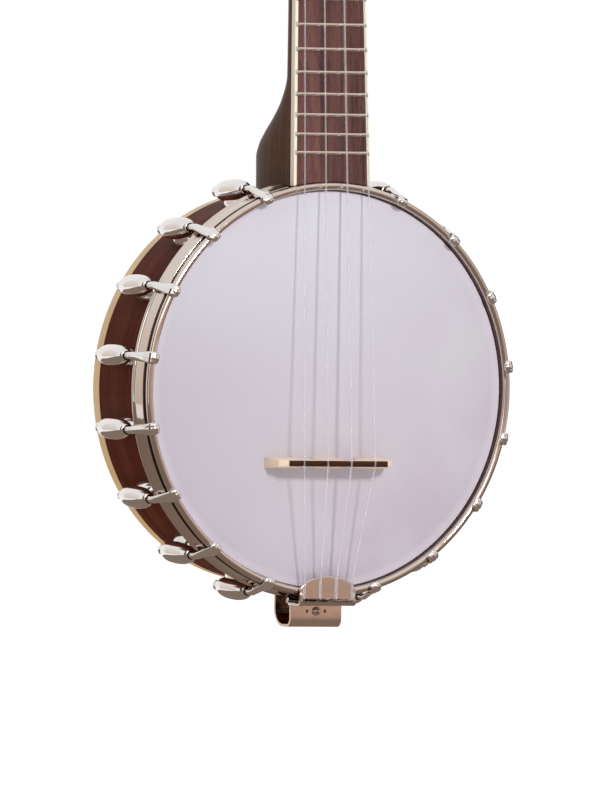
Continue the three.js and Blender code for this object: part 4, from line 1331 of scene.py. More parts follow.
def rounded_corner(
    corner: tuple[float, float],
    reach: float,
    before: tuple[float, float],
    after: tuple[float, float],
    steps: int = 6,
) -> Profile:
    """The curve that replaces one corner between two directions.

    Args:
        corner: The corner.
        reach: Length cut off each side.
        before: Direction from it towards the side before it.
        after: Direction from it towards the side after it.
        steps: Parts of the curve.

    Returns:
        The curve's points.
    """
    middle = Vector(corner)
    start, end = middle + Vector(before) * reach, middle + Vector(after) * reach
    shares = [i / steps for i in range(steps + 1)]
    return [tuple(start * (1 - t) ** 2 + middle * 2 * t * (1 - t) + end * t**2) for t in shares]


# Hooks and shoes


@dataclass
class Hooks:
    """The hooks over the hoop's bead, their nuts, and the shoes that hold them.

    Args:
        per_side: Hooks on each side.
        first: Angle of the first hook in degrees.
        right_step: Angle between the right hooks.
        left_step: Angle between the left hooks.
        lip_radius: A hook's distance from the drum's axis at the skirt's lip.
        lip_depth: Depth of that lip.
        lean: How far a hook leans in on its way back, in degrees.
        diameter: Thickness of a hook.
        wrap: Distance of the hook's middle from the bead's.
        tip_width: Width of the flattened tip.
        tip_thickness: Thickness of the flattened tip.
        tip_swell: How much the tip thickens over the bead.
        shoe_front: Depth of a shoe's nose.
        shoe_length: Length of a shoe.
        shoe_width: Width of a shoe.
        foot_length: Length of its foot.
        foot_width: Width of its foot.
        bore: Radius of its bore for the hook.
        bolt_depth: Depth of the bolt.
    """

    per_side: int = 8
    first: float = 22.0
    right_step: float = 20.35
    left_step: float = 19.85
    lip_radius: float = 111.475
    lip_depth: float = 11.7
    lean: float = 3.8
    diameter: float = 3.85
    wrap: float = 3.1
    tip_width: float = 6.2
    tip_thickness: float = 1.7
    tip_swell: float = 1.1
    shoe_front: float = 17.0
    shoe_length: float = 30.0
    shoe_width: float = 11.6
    foot_length: float = 21.0
    foot_width: float = 10.4
    bore: float = 2.15
    bolt_depth: float = 32.0

    def line(self, depth: float) -> float:
        """A hook's distance from the drum's axis at a depth."""
        return self.lip_radius - (depth - self.lip_depth) * math.tan(math.radians(self.lean))

    def on_line(self, depth: float) -> Matrix:
        """The frame of the hook's line at a depth, with Y back along it."""
        turn = Matrix.Rotation(math.radians(-self.lean), 4, "X")
        return Matrix.Translation((0, depth, self.line(depth))) @ turn

    def stations(self) -> list[tuple[float, float, float, float, float, float]]:
        """The hook from its nut to its tip: depth, radius, lean, width, thickness and groove depth.

        Returns:
            One row for each section.
        """
        d, first, step, centre = self.diameter, 12, 6, FIT.bead_centre
        bend_groove, tip_groove, end_groove, rise = 0.2, 0.34, 0.28, 0.5
        straight, bend = (52.4, 40.0, 28.0, 20.0, 16.0), (16.0, 13.4, 11.2)
        along_skirt = [(110.5, 8.2), (109.45, 4.9), (108.75, 1.8)]
        made = [(y, self.line(y), 0.0, d, d, 0.0) for y in straight]
        start = math.radians(first)
        path = [*((self.line(y), y) for y in bend), *along_skirt]
        path.append((centre + self.wrap * math.cos(start), -self.wrap * math.sin(start)))
        for i, (radius, y) in enumerate(path[1:-1], 1):
            share = i / (len(path) - 1)
            width = d + (self.tip_width - d) * share**2
            thickness = d + (self.tip_thickness - d) * share
            ahead, behind = path[i + 1], path[i - 1]
            lean = math.atan2(-(ahead[0] - behind[0]), -(ahead[1] - behind[1]))
            made.append((y, radius, lean, width, thickness, bend_groove * share**2))
        for degrees in range(first, 91, step):
            angle = math.radians(degrees)
            swell = math.sin(angle) ** 2
            wrap = self.wrap + self.tip_swell / 2 * swell
            y, radius = -wrap * math.sin(angle), centre + wrap * math.cos(angle)
            thickness = self.tip_thickness + self.tip_swell * swell
            made.append((y, radius, angle, self.tip_width * (1 + 0.04 * swell), thickness, tip_groove))
        angle = math.radians(92)
        end = ((0.7, 1.0, 1.55), (1.35, 0.9, 1.35), (1.85, 0.72, 1.05), (2.2, 0.4, 0.55))
        for reach, wide, thick in end:
            y = -(self.wrap + rise) * math.sin(angle) - reach * math.cos(angle)
            radius = centre + self.wrap * math.cos(angle) - reach * math.sin(angle)
            made.append((y, radius, angle, self.tip_width * wide, self.tip_thickness * thick, end_groove))
        return made

    def hook(self) -> Solid:
        """A hook; its tip carries two lengthwise grooves from forging.

        Returns:
            The closed body.
        """
        sides, groove_place, groove_width = 28, 0.36, 0.16
        rings = []
        for y, radius, lean, width, thickness, ridge in self.stations():
            ring = []
            for k in range(sides):
                across, rise = math.cos(TAU * k / sides), math.sin(TAU * k / sides)
                places = [(across - at) / groove_width for at in (-groove_place, groove_place)]
                out = thickness / 2 * rise
                if rise > 0:
                    out -= ridge * sum(math.exp(-(place**2)) for place in places)
                x = width / 2 * across
                ring.append(Vector((x, y - out * math.sin(lean), radius + out * math.cos(lean))))
            rings.append(ring)
        return lofted(rings)

    def nut(self) -> Solid:
        """A small closed hexagon nut with a domed end, behind the shoe.

        Returns:
            The closed body.
        """
        corner, flat = 2.95, 2.6
        flanks = ((0.25, 2.5), (0.55, corner), (3.3, corner))
        dome = ((4.1, 2.68), (4.8, 2.2), (5.4, 1.5), (5.7, 0.6))
        rings = [hex_ring(flat, reach, y, Along.Y) for y, reach in (*flanks, *dome)]
        return lofted(rings).moved(self.on_line(self.shoe_front + self.shoe_length))

    def shoe(self) -> Form:
        """An olive round the hook with a narrow mouth, on a leaf-shaped foot that fits the rim.

        Returns:
            The finished form.
        """
        half, length, bore, count, sides = self.shoe_width / 2, self.shoe_length, self.bore, 48, 56
        reach, fullness, through = 0.87, 2.5, 3.0
        shares = [0.5 - 0.5 * math.cos(math.pi * i / count) for i in range(count + 1)]
        profile = [(half * math.sqrt(1 - (reach * abs(2 * t - 1)) ** fullness), length * t) for t in shares]
        profile += [(bore + 0.15, length + 0.1), (bore, length - 0.3)]
        profile += [(bore, 0.35), (bore + 0.1, -0.1), (bore + 0.3, -0.3)]
        olive = turned(profile, sides).moved(self.on_line(self.shoe_front))
        leaf = ((0.0, 0.97), (0.35, 1.0), (1.3, 0.98), (2.6, 0.92), (3.8, 0.84), (5.2, 0.74), (7.0, 0.6))
        side_fullness, end_fullness = 0.9, 0.85
        rings = []
        for lift, size in leaf:
            ring = []
            for k in range(sides):
                c, d = math.cos(TAU * k / sides), math.sin(TAU * k / sides)
                x = self.foot_width / 2 * size * math.copysign(abs(c) ** side_fullness, c)
                y = self.bolt_depth + self.foot_length / 2 * size * math.copysign(abs(d) ** end_fullness, d)
                ring.append(Vector((x, y, math.sqrt((FIT.rim_radius + FIT.gap) ** 2 - x**2) + lift)))
            rings.append(ring)
        hole = bar([(bore, -through), (bore, length + through)], Along.Y, sides)
        return Form(lofted(rings)).cut(hole.moved(self.on_line(self.shoe_front))).join(olive)

    def bolt(self) -> Solid:
        """The shoe's bolt end, with its washer and hexagon nut inside the rim.

        Returns:
            The closed body.
        """
        washer_radius, washer_height, nut_radius, nut_height = 5.2, 0.75, 4.5, 2.7
        wall = math.sqrt(FIT.rim_inside**2 - washer_radius**2)
        seat = wall - washer_height
        washer = bar(rounded_bar(washer_radius, seat, wall - 0.05, 0.2), Along.Z, 40)
        nut = hexagon(nut_radius, 0.4, seat - nut_height, seat, Along.Z)
        stud = bar([(1.7, wall - 4.3), (2.0, wall - 3.9), (2.0, FIT.rim_radius + 2.0)], Along.Z, 24)
        return washer.with_more(nut, stud).moved(Matrix.Translation((0, self.bolt_depth, 0)))

    def angles(self) -> list[tuple[str, float]]:
        """Name ending and angle of each hook.

        Returns:
            One pair for each hook.
        """
        made = []
        for side, turn in (("right", self.right_step), ("left", -self.left_step)):
            first = math.copysign(self.first, turn)
            made += [(f"{side}_{i + 1}", first + i * turn) for i in range(self.per_side)]
        return made

    def dress(self, placer: Placer, palette: Palette) -> None:
        """Adds hooks, nuts and shoes all round the drum.

        Args:
            placer: Places each piece.
            palette: The finishes.
        """
        hook, nut = Form(self.hook()).mesh(), Form(self.nut()).mesh()
        shoe, bolt = self.shoe().mesh(), Form(self.bolt()).mesh()
        for ending, degrees in self.angles():
            place = Frames.turned_about_drum(degrees)
            # Hooks, their nuts and shoes wear the lighter nickel copy as painted highlight.
            placer.add(f"hook_{ending}", hook, palette.painted_highlight_nickel, place)
            placer.add(f"hook_nut_{ending}", nut, palette.painted_highlight_nickel, place, node=f"hook_{ending}")
            placer.add(f"shoe_{ending}", shoe, palette.painted_highlight_nickel, place)
            placer.add(f"shoe_bolt_{ending}", bolt, palette.nickel, place, node=f"shoe_{ending}")


def rounded_bar(radius: float, low: float, high: float, edge: float) -> Profile:
    """Profile of a round bar with both edges eased."""
    return [(radius - edge, low), (radius, low + edge), (radius, high - edge), (radius - edge, high)]


# Rod and tailpiece


@dataclass
class CoordinatorRod:
    """The rod through the drum, with its nuts.

    Args:
        radius: Radius of the rod.
        top: Height of its end in the heel.
        wall: Height of the rim's inner wall at the nuts.
        foot: Outside of the tail bracket's foot.
        nut: Radius over the nuts' corners.
        nut_height: Height of the nuts, with the inner ones' washers.
        washer: Thickness of those washers.
    """

    radius: float = 4.0
    top: float = 130.0
    wall: float = 91.93
    foot: float = -103.9
    nut: float = 7.0
    nut_height: float = 5.0
    washer: float = 0.9

    def threads(self, low: float, high: float) -> Profile:
        """Profile of a stretch of screw thread.

        Args:
            low: Its first place.
            high: Its last place.

        Returns:
            The profile.
        """
        pitch, depth, count, made = 1.25, 0.35, 0, []
        while low + pitch * (count + 1) <= high:
            made.append((self.radius, low + pitch * count))
            made.append((self.radius - depth, low + pitch * (count + 0.5)))
            count += 1
        return [*made, (self.radius, low + pitch * count)]

    def body(self) -> Solid:
        """Rod, threads, nuts, washers and crown.

        Returns:
            The closed body.
        """
        wall, chamfer, clear, plain = self.wall, 0.6, 0.4, self.radius + FIT.gap
        rim, easing, bite, radius = self.nut + 0.9, 0.2, 0.12, self.radius
        washer, high = self.washer, self.nut_height
        profile = [(radius, self.foot - high), (radius, -wall + 5.2)]
        profile += self.threads(-wall + high + clear, -wall + 21.0)
        profile += [(plain, -wall + 22.0), (plain, wall - 23.0)]
        profile += self.threads(wall - 21.5, wall - high - clear)
        profile += [(radius, self.top - 1.0), (radius - 1.0, self.top)]
        crown = [(2.6, -112.4), (3.6, -112.1), (4.6, -111.2), (5.35, -109.6), (5.5, -108.7)]
        parts = [
            hexagon(self.nut, chamfer, wall - high, wall - washer, Along.Z),
            hexagon(self.nut, chamfer, -wall + washer, -wall + high, Along.Z),
            bar(rounded_bar(rim, wall - washer, wall + bite, easing), Along.Z, 48),
            bar(rounded_bar(rim, -wall - bite, -wall + washer, easing), Along.Z, 48),
            hexagon(self.nut, chamfer, self.foot - high, self.foot, Along.Z),
            bar(crown, Along.Z, 48),
        ]
        lift = Matrix.Translation((0, FIT.rod_depth, 0))
        return bar(profile, Along.Z, 36).with_more(*parts).moved(lift)

    def dress(self, placer: Placer, palette: Palette) -> None:
        """Adds the rod."""
        placer.add("coordinator_rod", self.body(), palette.nickel, sharp=28)


def sheet(line: Profile, thickness: float) -> Profile:
    """The outline of a bent sheet from its middle line.

    Args:
        line: Points of the middle line.
        thickness: The sheet's thickness.

    Returns:
        The closed outline.
    """
    left, right = [], []
    for i, point in enumerate(line):
        before, after = Vector(line[max(i - 1, 0)]), Vector(line[min(i + 1, len(line) - 1)])
        along = (after - before).normalized()
        side = Vector((-along.y, along.x)) * thickness / 2
        left.append(tuple(Vector(point) + side))
        right.append(tuple(Vector(point) - side))
    return [*left, *reversed(right)]


@dataclass
class Tailpiece:
    """The bracket from the rim and the cover over the hoop.

    Args:
        thickness: Thickness of the sheet metal.
        half_width: Half the cover's width.
        cover_bottom: Height of the cover's lower bend.
        ledge: Height of the ledge's middle.
        bracket_front: Depth of the bracket's front plate.
        bracket_back: Depth of its rear wall.
        bracket_bottom: Height of its bottom.
        bracket_width: Its width.
        screw: Height of the screw.
    """

    thickness: float = 1.3
    half_width: float = 16.5
    cover_bottom: float = -109.9
    ledge: float = -111.2
    bracket_front: float = 9.3
    bracket_back: float = 26.0
    bracket_bottom: float = -122.6
    bracket_width: float = 30.0
    screw: float = -115.0

    def bracket(self) -> Form:
        """The bent strap with its screw holes.

        Returns:
            The finished form.
        """
        foot = -FIT.rim_radius - 0.05 - self.thickness / 2
        front, back, bottom = self.bracket_front, self.bracket_back, self.bracket_bottom
        front_bend, curl, foot_bend, foot_length, through = 3.5, 9.0, 1.2, 19.0, 3.0
        line = [
            (front, self.ledge - 0.95),
            (front, self.ledge - 2.0),
            *arc((front + front_bend, bottom + front_bend), front_bend, 180, 270, 12),
            *arc((back - curl, bottom + curl), curl, 270, 360, 18),
            *arc((back + foot_bend, foot - foot_bend), foot_bend, 180, 90, 8),
            (back + foot_length, foot),
        ]
        half, rod_hole, spare_hole, spare_place = self.bracket_width / 2, 4.2, 0.9, 5.3
        strap = Form(prism(sheet(line, self.thickness), -half, half, Along.X))
        bore = bar([(rod_hole, foot - through), (rod_hole, foot + through)], Along.Z, 32)
        spare = bar([(spare_hole, front - through), (spare_hole, front + through)], Along.Y, 20)
        spares = [spare.moved(Matrix.Translation((x, 0, self.screw))) for x in (spare_place, -spare_place)]
        return strap.cut(bore.moved(Matrix.Translation((0, FIT.rod_depth, 0))), *spares).bevel(0.22, 2)

    def plate(self) -> Solid:
        """The cover's plate: a half oval, domed towards its rolled edge.

        Returns:
            The closed body.
        """
        half, base, crown = self.half_width, self.cover_bottom, self.half_width / 2
        oval = [(u * half, FIT.cover_top - crown + v * crown) for u, v in arc((0, 0), 1.0, 0, 180, 48)]
        outline = [(half, base), *oval, (-half, base)]
        middle = Vector((0.0, (FIT.cover_top + base) / 2 - 1.0))
        front, back = FIT.cover_front, FIT.cover_front + self.thickness
        back_edge = [(2.2, back), (0.35, back), (0.0, back - 0.25), (0.0, back - 0.55)]
        front_edge = [(0.12, -3.62), (0.4, -3.8), (0.9, -3.92), (1.8, front), (6.0, front)]
        rings = []
        for shrink, depth in back_edge + front_edge:
            ring = []
            for u, v in outline:
                moved = middle + (Vector((u, v)) - middle) * (1 - shrink / half)
                ring.append(Vector((moved.x, depth, v if v < base + 0.01 else moved.y)))
            rings.append(ring)
        return lofted(rings)

    def cover(self) -> Form:
        """Plate, ledge and tongue with the strings' slit; the ledge has a rib under the hoop's lip.

        Returns:
            The finished form.
        """
        middle, bend, tongue_bend, easing = FIT.cover_front + self.thickness / 2, 1.5, 1.2, 0.3
        ledge_line = [
            (middle, self.cover_bottom + 1.3),
            (middle, self.cover_bottom),
            *arc((middle + bend, self.ledge + bend), bend, 190, 270, 6),
            (self.bracket_front - 0.5, self.ledge),
        ]
        tongue = self.bracket_front + self.thickness + 0.3
        tongue_line = [
            (self.bracket_front - 1.3, self.ledge),
            *arc((tongue - tongue_bend, self.ledge - tongue_bend), tongue_bend, 90, 0, 5),
            (tongue, self.screw - 3.5),
        ]
        ledge = prism(sheet(ledge_line, self.thickness), -self.half_width, self.half_width, Along.X)
        reach, half_slit, half_tongue = 15.0, 0.6, 12.0
        strip = prism(sheet(tongue_line, self.thickness), -half_tongue, half_tongue, Along.X)
        low, high = FIT.slit - half_slit, FIT.slit + half_slit
        slit_outline = rounded([(-reach, low), (reach, low), (reach, high), (-reach, high)], 0.5)
        slit = prism(slit_outline, FIT.cover_front - 1.0, FIT.cover_front + self.thickness + 0.8, Along.Y)
        rib_place, rib_radius = (110.6, 11.6), 1.5
        rib = turned(arc(rib_place, rib_radius, 0, 360, 24)[:-1], 24, (172.0, 188.0))
        bent = [Form(part).bevel(easing).solid() for part in (ledge, strip)]
        return Form(self.plate()).join(*bent, rib).cut(slit)

    def screw_body(self) -> Form:
        """The fixing screw with a domed, slotted head.

        Returns:
            The finished form.
        """
        seat, half_slot, reach, turn = self.bracket_front - self.thickness / 2, 0.3, 3.0, 35
        head = [(0.6, seat - 1.9), (1.3, seat - 1.75), (1.9, seat - 1.35)]
        head += [(2.25, seat - 0.7), (2.3, seat - 0.05)]
        shank = [(1.3, seat - 0.06), (1.3, seat + 4.6), (0.9, seat + 5.0)]
        outline = [(-half_slot, -reach), (half_slot, -reach), (half_slot, reach), (-half_slot, reach)]
        slot = prism(outline, seat - 2.4, seat - 1.2, Along.Y)
        lift = Matrix.Translation((0, 0, self.screw))
        tilt = Matrix.Rotation(math.radians(turn), 4, "Y")
        return Form(bar([*head, *shank], Along.Y, 36).moved(lift)).cut(slot.moved(lift @ tilt))

    def dress(self, placer: Placer, palette: Palette) -> None:
        """Adds bracket, cover and screw.

        Args:
            placer: Places each piece.
            palette: The finishes.
        """
        placer.add("tailpiece_bracket", self.bracket(), palette.sheet_nickel, sharp=20)
        placer.add("tailpiece_cover", self.cover(), palette.nickel, sharp=30)
        placer.add("tailpiece_screw", self.screw_body(), palette.nickel, node="tailpiece_cover")


# Bridge


@dataclass
class Bridge:
    """The maple bridge on its three feet, with a dark cap.

    Args:
        foot_depth: Depth of the feet.
        top_depth: Depth of the base's top.
        half_length: Half its length.
        foot_half: Half its thickness at the feet.
        top_half: Half its thickness at the top.
        cap_half: Half the cap's length.
        cap_height: Height of the cap.
    """

    foot_depth: float = 2.66
    top_depth: float = -11.3
    half_length: float = 35.5
    foot_half: float = 2.85
    top_half: float = 1.5
    cap_half: float = 28.5
    cap_height: float = 2.1

    def base(self) -> Form:
        """The base with two arches, thinner towards its top.

        Returns:
            The finished form.
        """
        half, foot, top = self.half_length, self.foot_depth, self.top_depth
        radius, arch_place, arch_top = 4.5, 12.7, -5.1
        crowns = []
        for middle in (-arch_place, arch_place):
            crown = arc((middle, arch_top + radius), radius, 180, 360, 16)
            crowns.append([(middle - radius, foot), *crown, (middle + radius, foot)])
        outline = [
            (-half, foot),
            *crowns[0],
            *crowns[1],
            (half, foot),
            (half * 0.94, top + 2.8),
            *rounded_corner((half * 0.86, top + 0.5), 1.5, (0.7, 0.7), (-0.97, -0.2)),
            (half * 0.8, top),
            (-half * 0.8, top),
            *reversed(rounded_corner((-half * 0.86, top + 0.5), 1.5, (-0.7, 0.7), (0.97, -0.2))),
            (-half * 0.94, top + 2.8),
        ]
        block = prism(outline, -1.0, 1.0, Along.Z)

        def taper(p: Vector) -> Vector:
            """A point drawn in to the bridge's thickness at its depth.

            Args:
                p: The point.

            Returns:
                The point drawn in.
            """
            share = (p.y - foot) / (top - foot)
            thickness = self.foot_half + (self.top_half - self.foot_half) * share
            return Vector((p.x, p.y, FIT.bridge + p.z * thickness))

        return Form(block.bent(taper)).bevel(0.3, 2, 40)

    def cap(self) -> Form:
        """The cap with a notch for each string.

        Returns:
            The finished form.
        """
        glue_line = 0.3
        bottom, top = self.top_depth, self.top_depth - glue_line - self.cap_height
        clearance, shoulder, slope, floor = 0.12, 0.25, 0.2, 0.42
        line = [(-self.cap_half, top)]
        for i, diameter in enumerate(FIT.diameters):
            x = FIT.bridge_spread * (i / 3 - 0.5)
            reach = diameter / 2 + clearance
            notch = [(reach + shoulder, top), (reach, top + slope), (reach * 0.5, top + floor)]
            line += [(x - off, depth) for off, depth in notch]
            line += [(x + off, depth) for off, depth in reversed(notch)]
        line += [(self.cap_half, top), (self.cap_half, bottom), (-self.cap_half, bottom)]
        low, high = FIT.bridge - self.top_half, FIT.bridge + self.top_half
        return Form(prism(line, low, high, Along.Z)).bevel(0.18, 2, 50)

    def dress(self, placer: Placer, palette: Palette) -> None:
        """Adds base and cap."""
        placer.add("bridge_base", self.base(), palette.maple, sharp=30)
        placer.add("bridge_cap", self.cap(), palette.ebony, sharp=30)


# Neck


@dataclass
class Neck:
    """Neck, headstock, fretboard and nut, in the neck's frame.

    Args:
        end_width: Width at the drum.
        nut_width: Width at the nut.
        scale: The strings' sounding length.
        frets: Number of frets.
        heel_foot: Height of the heel's lower end, before it is cut to the rim.
        heel_top: Height where the heel starts to run out.
        run_out: Length of the run-out into the shaft.
        heel_depth: Depth of the heel.
        shaft_depth: Depth of the shaft.
        squareness: How square the heel's and the shaft's sections are.
        headstock_length: Length of the headstock.
        headstock_width: Width of the headstock.
        binding: Width of the strips along the board's edges.
    """

    end_width: float = 45.3
    nut_width: float = 37.0
    scale: float = 381.0
    frets: int = 15
    heel_foot: float = -18.0
    heel_top: float = 15.0
    run_out: float = 40.0
    heel_depth: float = 54.0
    shaft_depth: float = 14.0
    squareness: tuple[float, float] = (3.4, 2.3)
    headstock_length: float = 126.0
    headstock_width: float = 59.0
    binding: float = 1.8

    def half_width(self, z: float) -> float:
        """Half the board's width at a height."""
        return (self.end_width + (self.nut_width - self.end_width) * z / FIT.board_length) / 2

    def ring(self, z: float, half: float, front: float, depth: float, squareness: float) -> list[Vector]:
        """Half a rounded section behind the board, closed across its front.

        Args:
            z: Height of the section.
            half: Half its width.
            front: Depth of its front.
            depth: How far it reaches behind its front.
            squareness: How square it is.

        Returns:
            The ring's points.
        """
        steps, front_steps = 40, 6
        made = []
        for i in range(steps + 1):
            angle = math.pi * i / steps
            c, s = math.cos(angle), math.sin(angle)
            x = half * math.copysign(abs(c) ** (2 / squareness), c)
            made.append(Vector((x, front + depth * abs(s) ** (2 / squareness), z)))
        made += [Vector((-half + 2 * half * i / front_steps, front, z)) for i in range(1, front_steps)]
        return made

    def shaft(self) -> Solid:
        """Heel, run-out and shaft up to the headstock.

        Returns:
            The closed body.
        """
        top, blend = FIT.board_length, self.heel_top + self.run_out
        sweep = [(21.0, 51.3), (27.0, 44.8), (34.2, 34.6), (43.0, 23.8), (blend, 15.7)]
        line = [(self.heel_foot, self.heel_depth), (self.heel_top, self.heel_depth), *sweep]
        line += [(top / 2, self.shaft_depth), (top, self.shaft_depth)]
        places, depths = zip(*line, strict=True)
        heights = [self.heel_foot + (self.heel_top - self.heel_foot) * i / 6 for i in range(6)]
        heights += [self.heel_top + self.run_out * i / 26 for i in range(26)]
        heights += [blend + (top - blend) * i / 16 for i in range(17)]
        heel_square, shaft_square = self.squareness
        made = []
        for z in heights:
            share = min(max((z - self.heel_top) / self.run_out, 0), 1)
            square = heel_square + (shaft_square - heel_square) * share
            made.append(self.ring(z, self.half_width(z), FIT.board, eased(places, depths, z), square))
        foot, tail = FIT.headstock_foot, 26.0
        drop = FIT.headstock * math.tan(math.radians(FIT.headstock_lean)) + 0.3
        for i in range(9):
            t = i / 8
            half = self.half_width(foot) * (1 - 0.55 * t**2)
            depth = self.shaft_depth - 7.2 * t**1.5
            front = FIT.board + 2 * drop * t
            made.append(self.ring(foot + tail * t, half, front, depth, shaft_square))
        return lofted(made)

    def headstock_outline(self) -> Profile:
        """The headstock's outline in its own frame.

        Returns:
            The closed outline.
        """
        half, length = self.headstock_width / 2, self.headstock_length
        neck_half = self.half_width(FIT.headstock_foot)
        flare, shoulder, waist, corner = 0.1 * length, 0.3 * length, 0.86 * length, 0.98 * length

        ends = ((neck_half, 0), (neck_half, flare), (half, flare), (half, shoulder))
        a, b, c, d = (Vector(end) for end in ends)
        side = []
        for t in (i / 20 for i in range(21)):
            side.append(a * (1 - t) ** 3 + b * 3 * t * (1 - t) ** 2 + c * 3 * t**2 * (1 - t) + d * t**3)
        start, bend, end = Vector((half * 0.9, waist)), Vector((half * 0.78, corner)), Vector((0, length))
        shares = [i / 16 for i in range(17)]
        crown = [start * (1 - t) ** 2 + bend * 2 * t * (1 - t) + end * t**2 for t in shares]
        right = [(p.x, p.y) for p in [*side, *crown]]
        return [*right, *[(-x, z) for x, z in reversed(right[:-1])]]

    def headstock(self) -> Solid:
        """The headstock with rounded edges, in its own frame."""
        slab = prism(self.headstock_outline(), 0.0, FIT.headstock, Along.Y)
        return Form(slab).bevel(1.2, 4).solid()

    def body(self, headstock_in_neck: Matrix, drum_in_neck: Matrix) -> Form:
        """Neck and headstock as one piece of wood, cut to seat on the rim and clear the hoop.

        Args:
            headstock_in_neck: The headstock's frame in the neck's.
            drum_in_neck: The drum's frame in the neck's.

        Returns:
            The finished form.
        """
        seat, behind, ahead, ledge, overlap = FIT.rim_radius + 0.05, 80.0, -60.0, 9.5, 0.05
        hoop, low = FIT.board_foot - 0.05, ledge - overlap
        rim_cut = turned([(0.0, low), (seat, low), (seat, behind), (0.0, behind)], RIM_STEPS)
        hoop_cut = turned([(0.0, ahead), (hoop, ahead), (hoop, ledge), (0.0, ledge)], RIM_STEPS)
        form = Form(self.shaft()).join(self.headstock().moved(headstock_in_neck))
        return form.cut(rim_cut.moved(drum_in_neck), hoop_cut.moved(drum_in_neck))

    def foot_line(self, places: Sequence[float]) -> Profile:
        """The board's foot at places across it, curved along the hoop."""
        return [(x, math.sqrt(FIT.board_foot**2 - x**2) - FIT.board_foot) for x in places]

    def fretboard(self) -> Form:
        """The rosewood between its bindings.

        Returns:
            The finished form.
        """
        top, inset, steps = FIT.board_length - 0.05, self.binding + 0.01, 24
        half, top_half = self.half_width(0) - inset, self.half_width(top) - inset
        places = [half * (2 * i / steps - 1) for i in range(steps + 1)]
        outline = [*self.foot_line(places), (top_half, top), (-top_half, top)]
        return Form(prism(outline, 0.0, FIT.board - FIT.gap, Along.Y))

    def board_bindings(self) -> Form:
        """The two cream strips along the board.

        Returns:
            The finished form.
        """
        top, steps = FIT.board_length - 0.05, 4
        inner, outer = self.half_width(top) - self.binding, self.half_width(top)
        strips = []
        for side in (-1, 1):
            places = [side * (self.half_width(0) - self.binding * i / steps) for i in range(steps + 1)]
            outline = [*self.foot_line(places), (side * inner, top), (side * outer, top)]
            strips.append(prism(outline, -FIT.gap, FIT.board - FIT.gap, Along.Y))
        return Form(strips[0].with_more(strips[1])).bevel(0.3, 3, 60)

    def fret(self, number: int) -> Solid:
        """One fret with a crown and filed ends.

        Args:
            number: Its number from the nut.

        Returns:
            The closed body.
        """
        z = FIT.board_length - self.scale * (1 - 2 ** (-number / 12))
        half, tall, half_wide, tang = self.half_width(z) - 0.35, 1.0, 1.1, 0.6
        turns = [math.radians(a) for a in range(0, 181, 15)]
        crown = [(-math.sin(a) ** 0.8 * tall, -half_wide * math.cos(a)) for a in turns]
        section = [(tang, -half_wide), *crown, (tang, half_wide)]
        solid = prism([(y, z + w) for y, w in section], -1.0, 1.0, Along.X)

        def filed(p: Vector) -> Vector:
            """A point drawn in towards the crown, so that the ends slope."""
            return Vector((p.x * (half - max(-p.y, 0.0) * 0.55), p.y, p.z))

        return solid.bent(filed)

    def fret_set(self) -> Solid:
        """All frets."""
        first, *others = [self.fret(n + 1) for n in range(self.frets)]
        return first.with_more(*others)

    def nut(self) -> Form:
        """The string nut with its four slots.

        Returns:
            The finished form.
        """
        top, thickness, clearance, back, z = -2.1, 5.0, 0.12, FIT.board - FIT.gap, FIT.board_length
        end = z + thickness
        front = [(top + 0.9, z), (top, z + 1.2), (top, z + 2.6), (top + 0.7, z + 4.4), (top + 1.6, end)]
        easing = [0, 0.4, 0.5, 0.6, 0.6, 0.6, 0]
        section = rounded([(back, z), *front, (back, end)], easing)
        body = Form(prism(section, -self.nut_width / 2, self.nut_width / 2, Along.X))
        slots = []
        for i, diameter in enumerate(FIT.diameters):
            x, open_end = FIT.nut_spread * (i / 3 - 0.5), -4.0
            floor, reach = FIT.nut_floor + diameter / 2 + 0.04, diameter / 2 + clearance
            corners = [(x - reach, open_end), (x + reach, open_end), (x + reach, floor), (x - reach, floor)]
            slots.append(prism(corners, z - 1.0, end + 1.5, Along.Z))
        return body.cut(*slots).bevel(0.12, 2, 40)

    def dress(self, placer: Placer, palette: Palette) -> None:
        """Adds the neck's pieces.

        Args:
            placer: Places each piece.
            palette: The finishes.
        """
        frames = placer.frames
        into_neck = frames.neck.inverted()
        wood = self.body(into_neck @ frames.headstock, into_neck)
        placer.add("neck", wood, palette.neck_wood, frames.neck, sharp=42)
        placer.add("fretboard", self.fretboard(), palette.rosewood, frames.neck)
        cream = palette.board_cream
        placer.add("fretboard_binding", self.board_bindings(), cream, frames.neck, node="fretboard")
        placer.add("frets", self.fret_set(), palette.nickel, frames.neck, node="fretboard")
        placer.add("string_nut", self.nut(), palette.bone, frames.neck)


# Strings


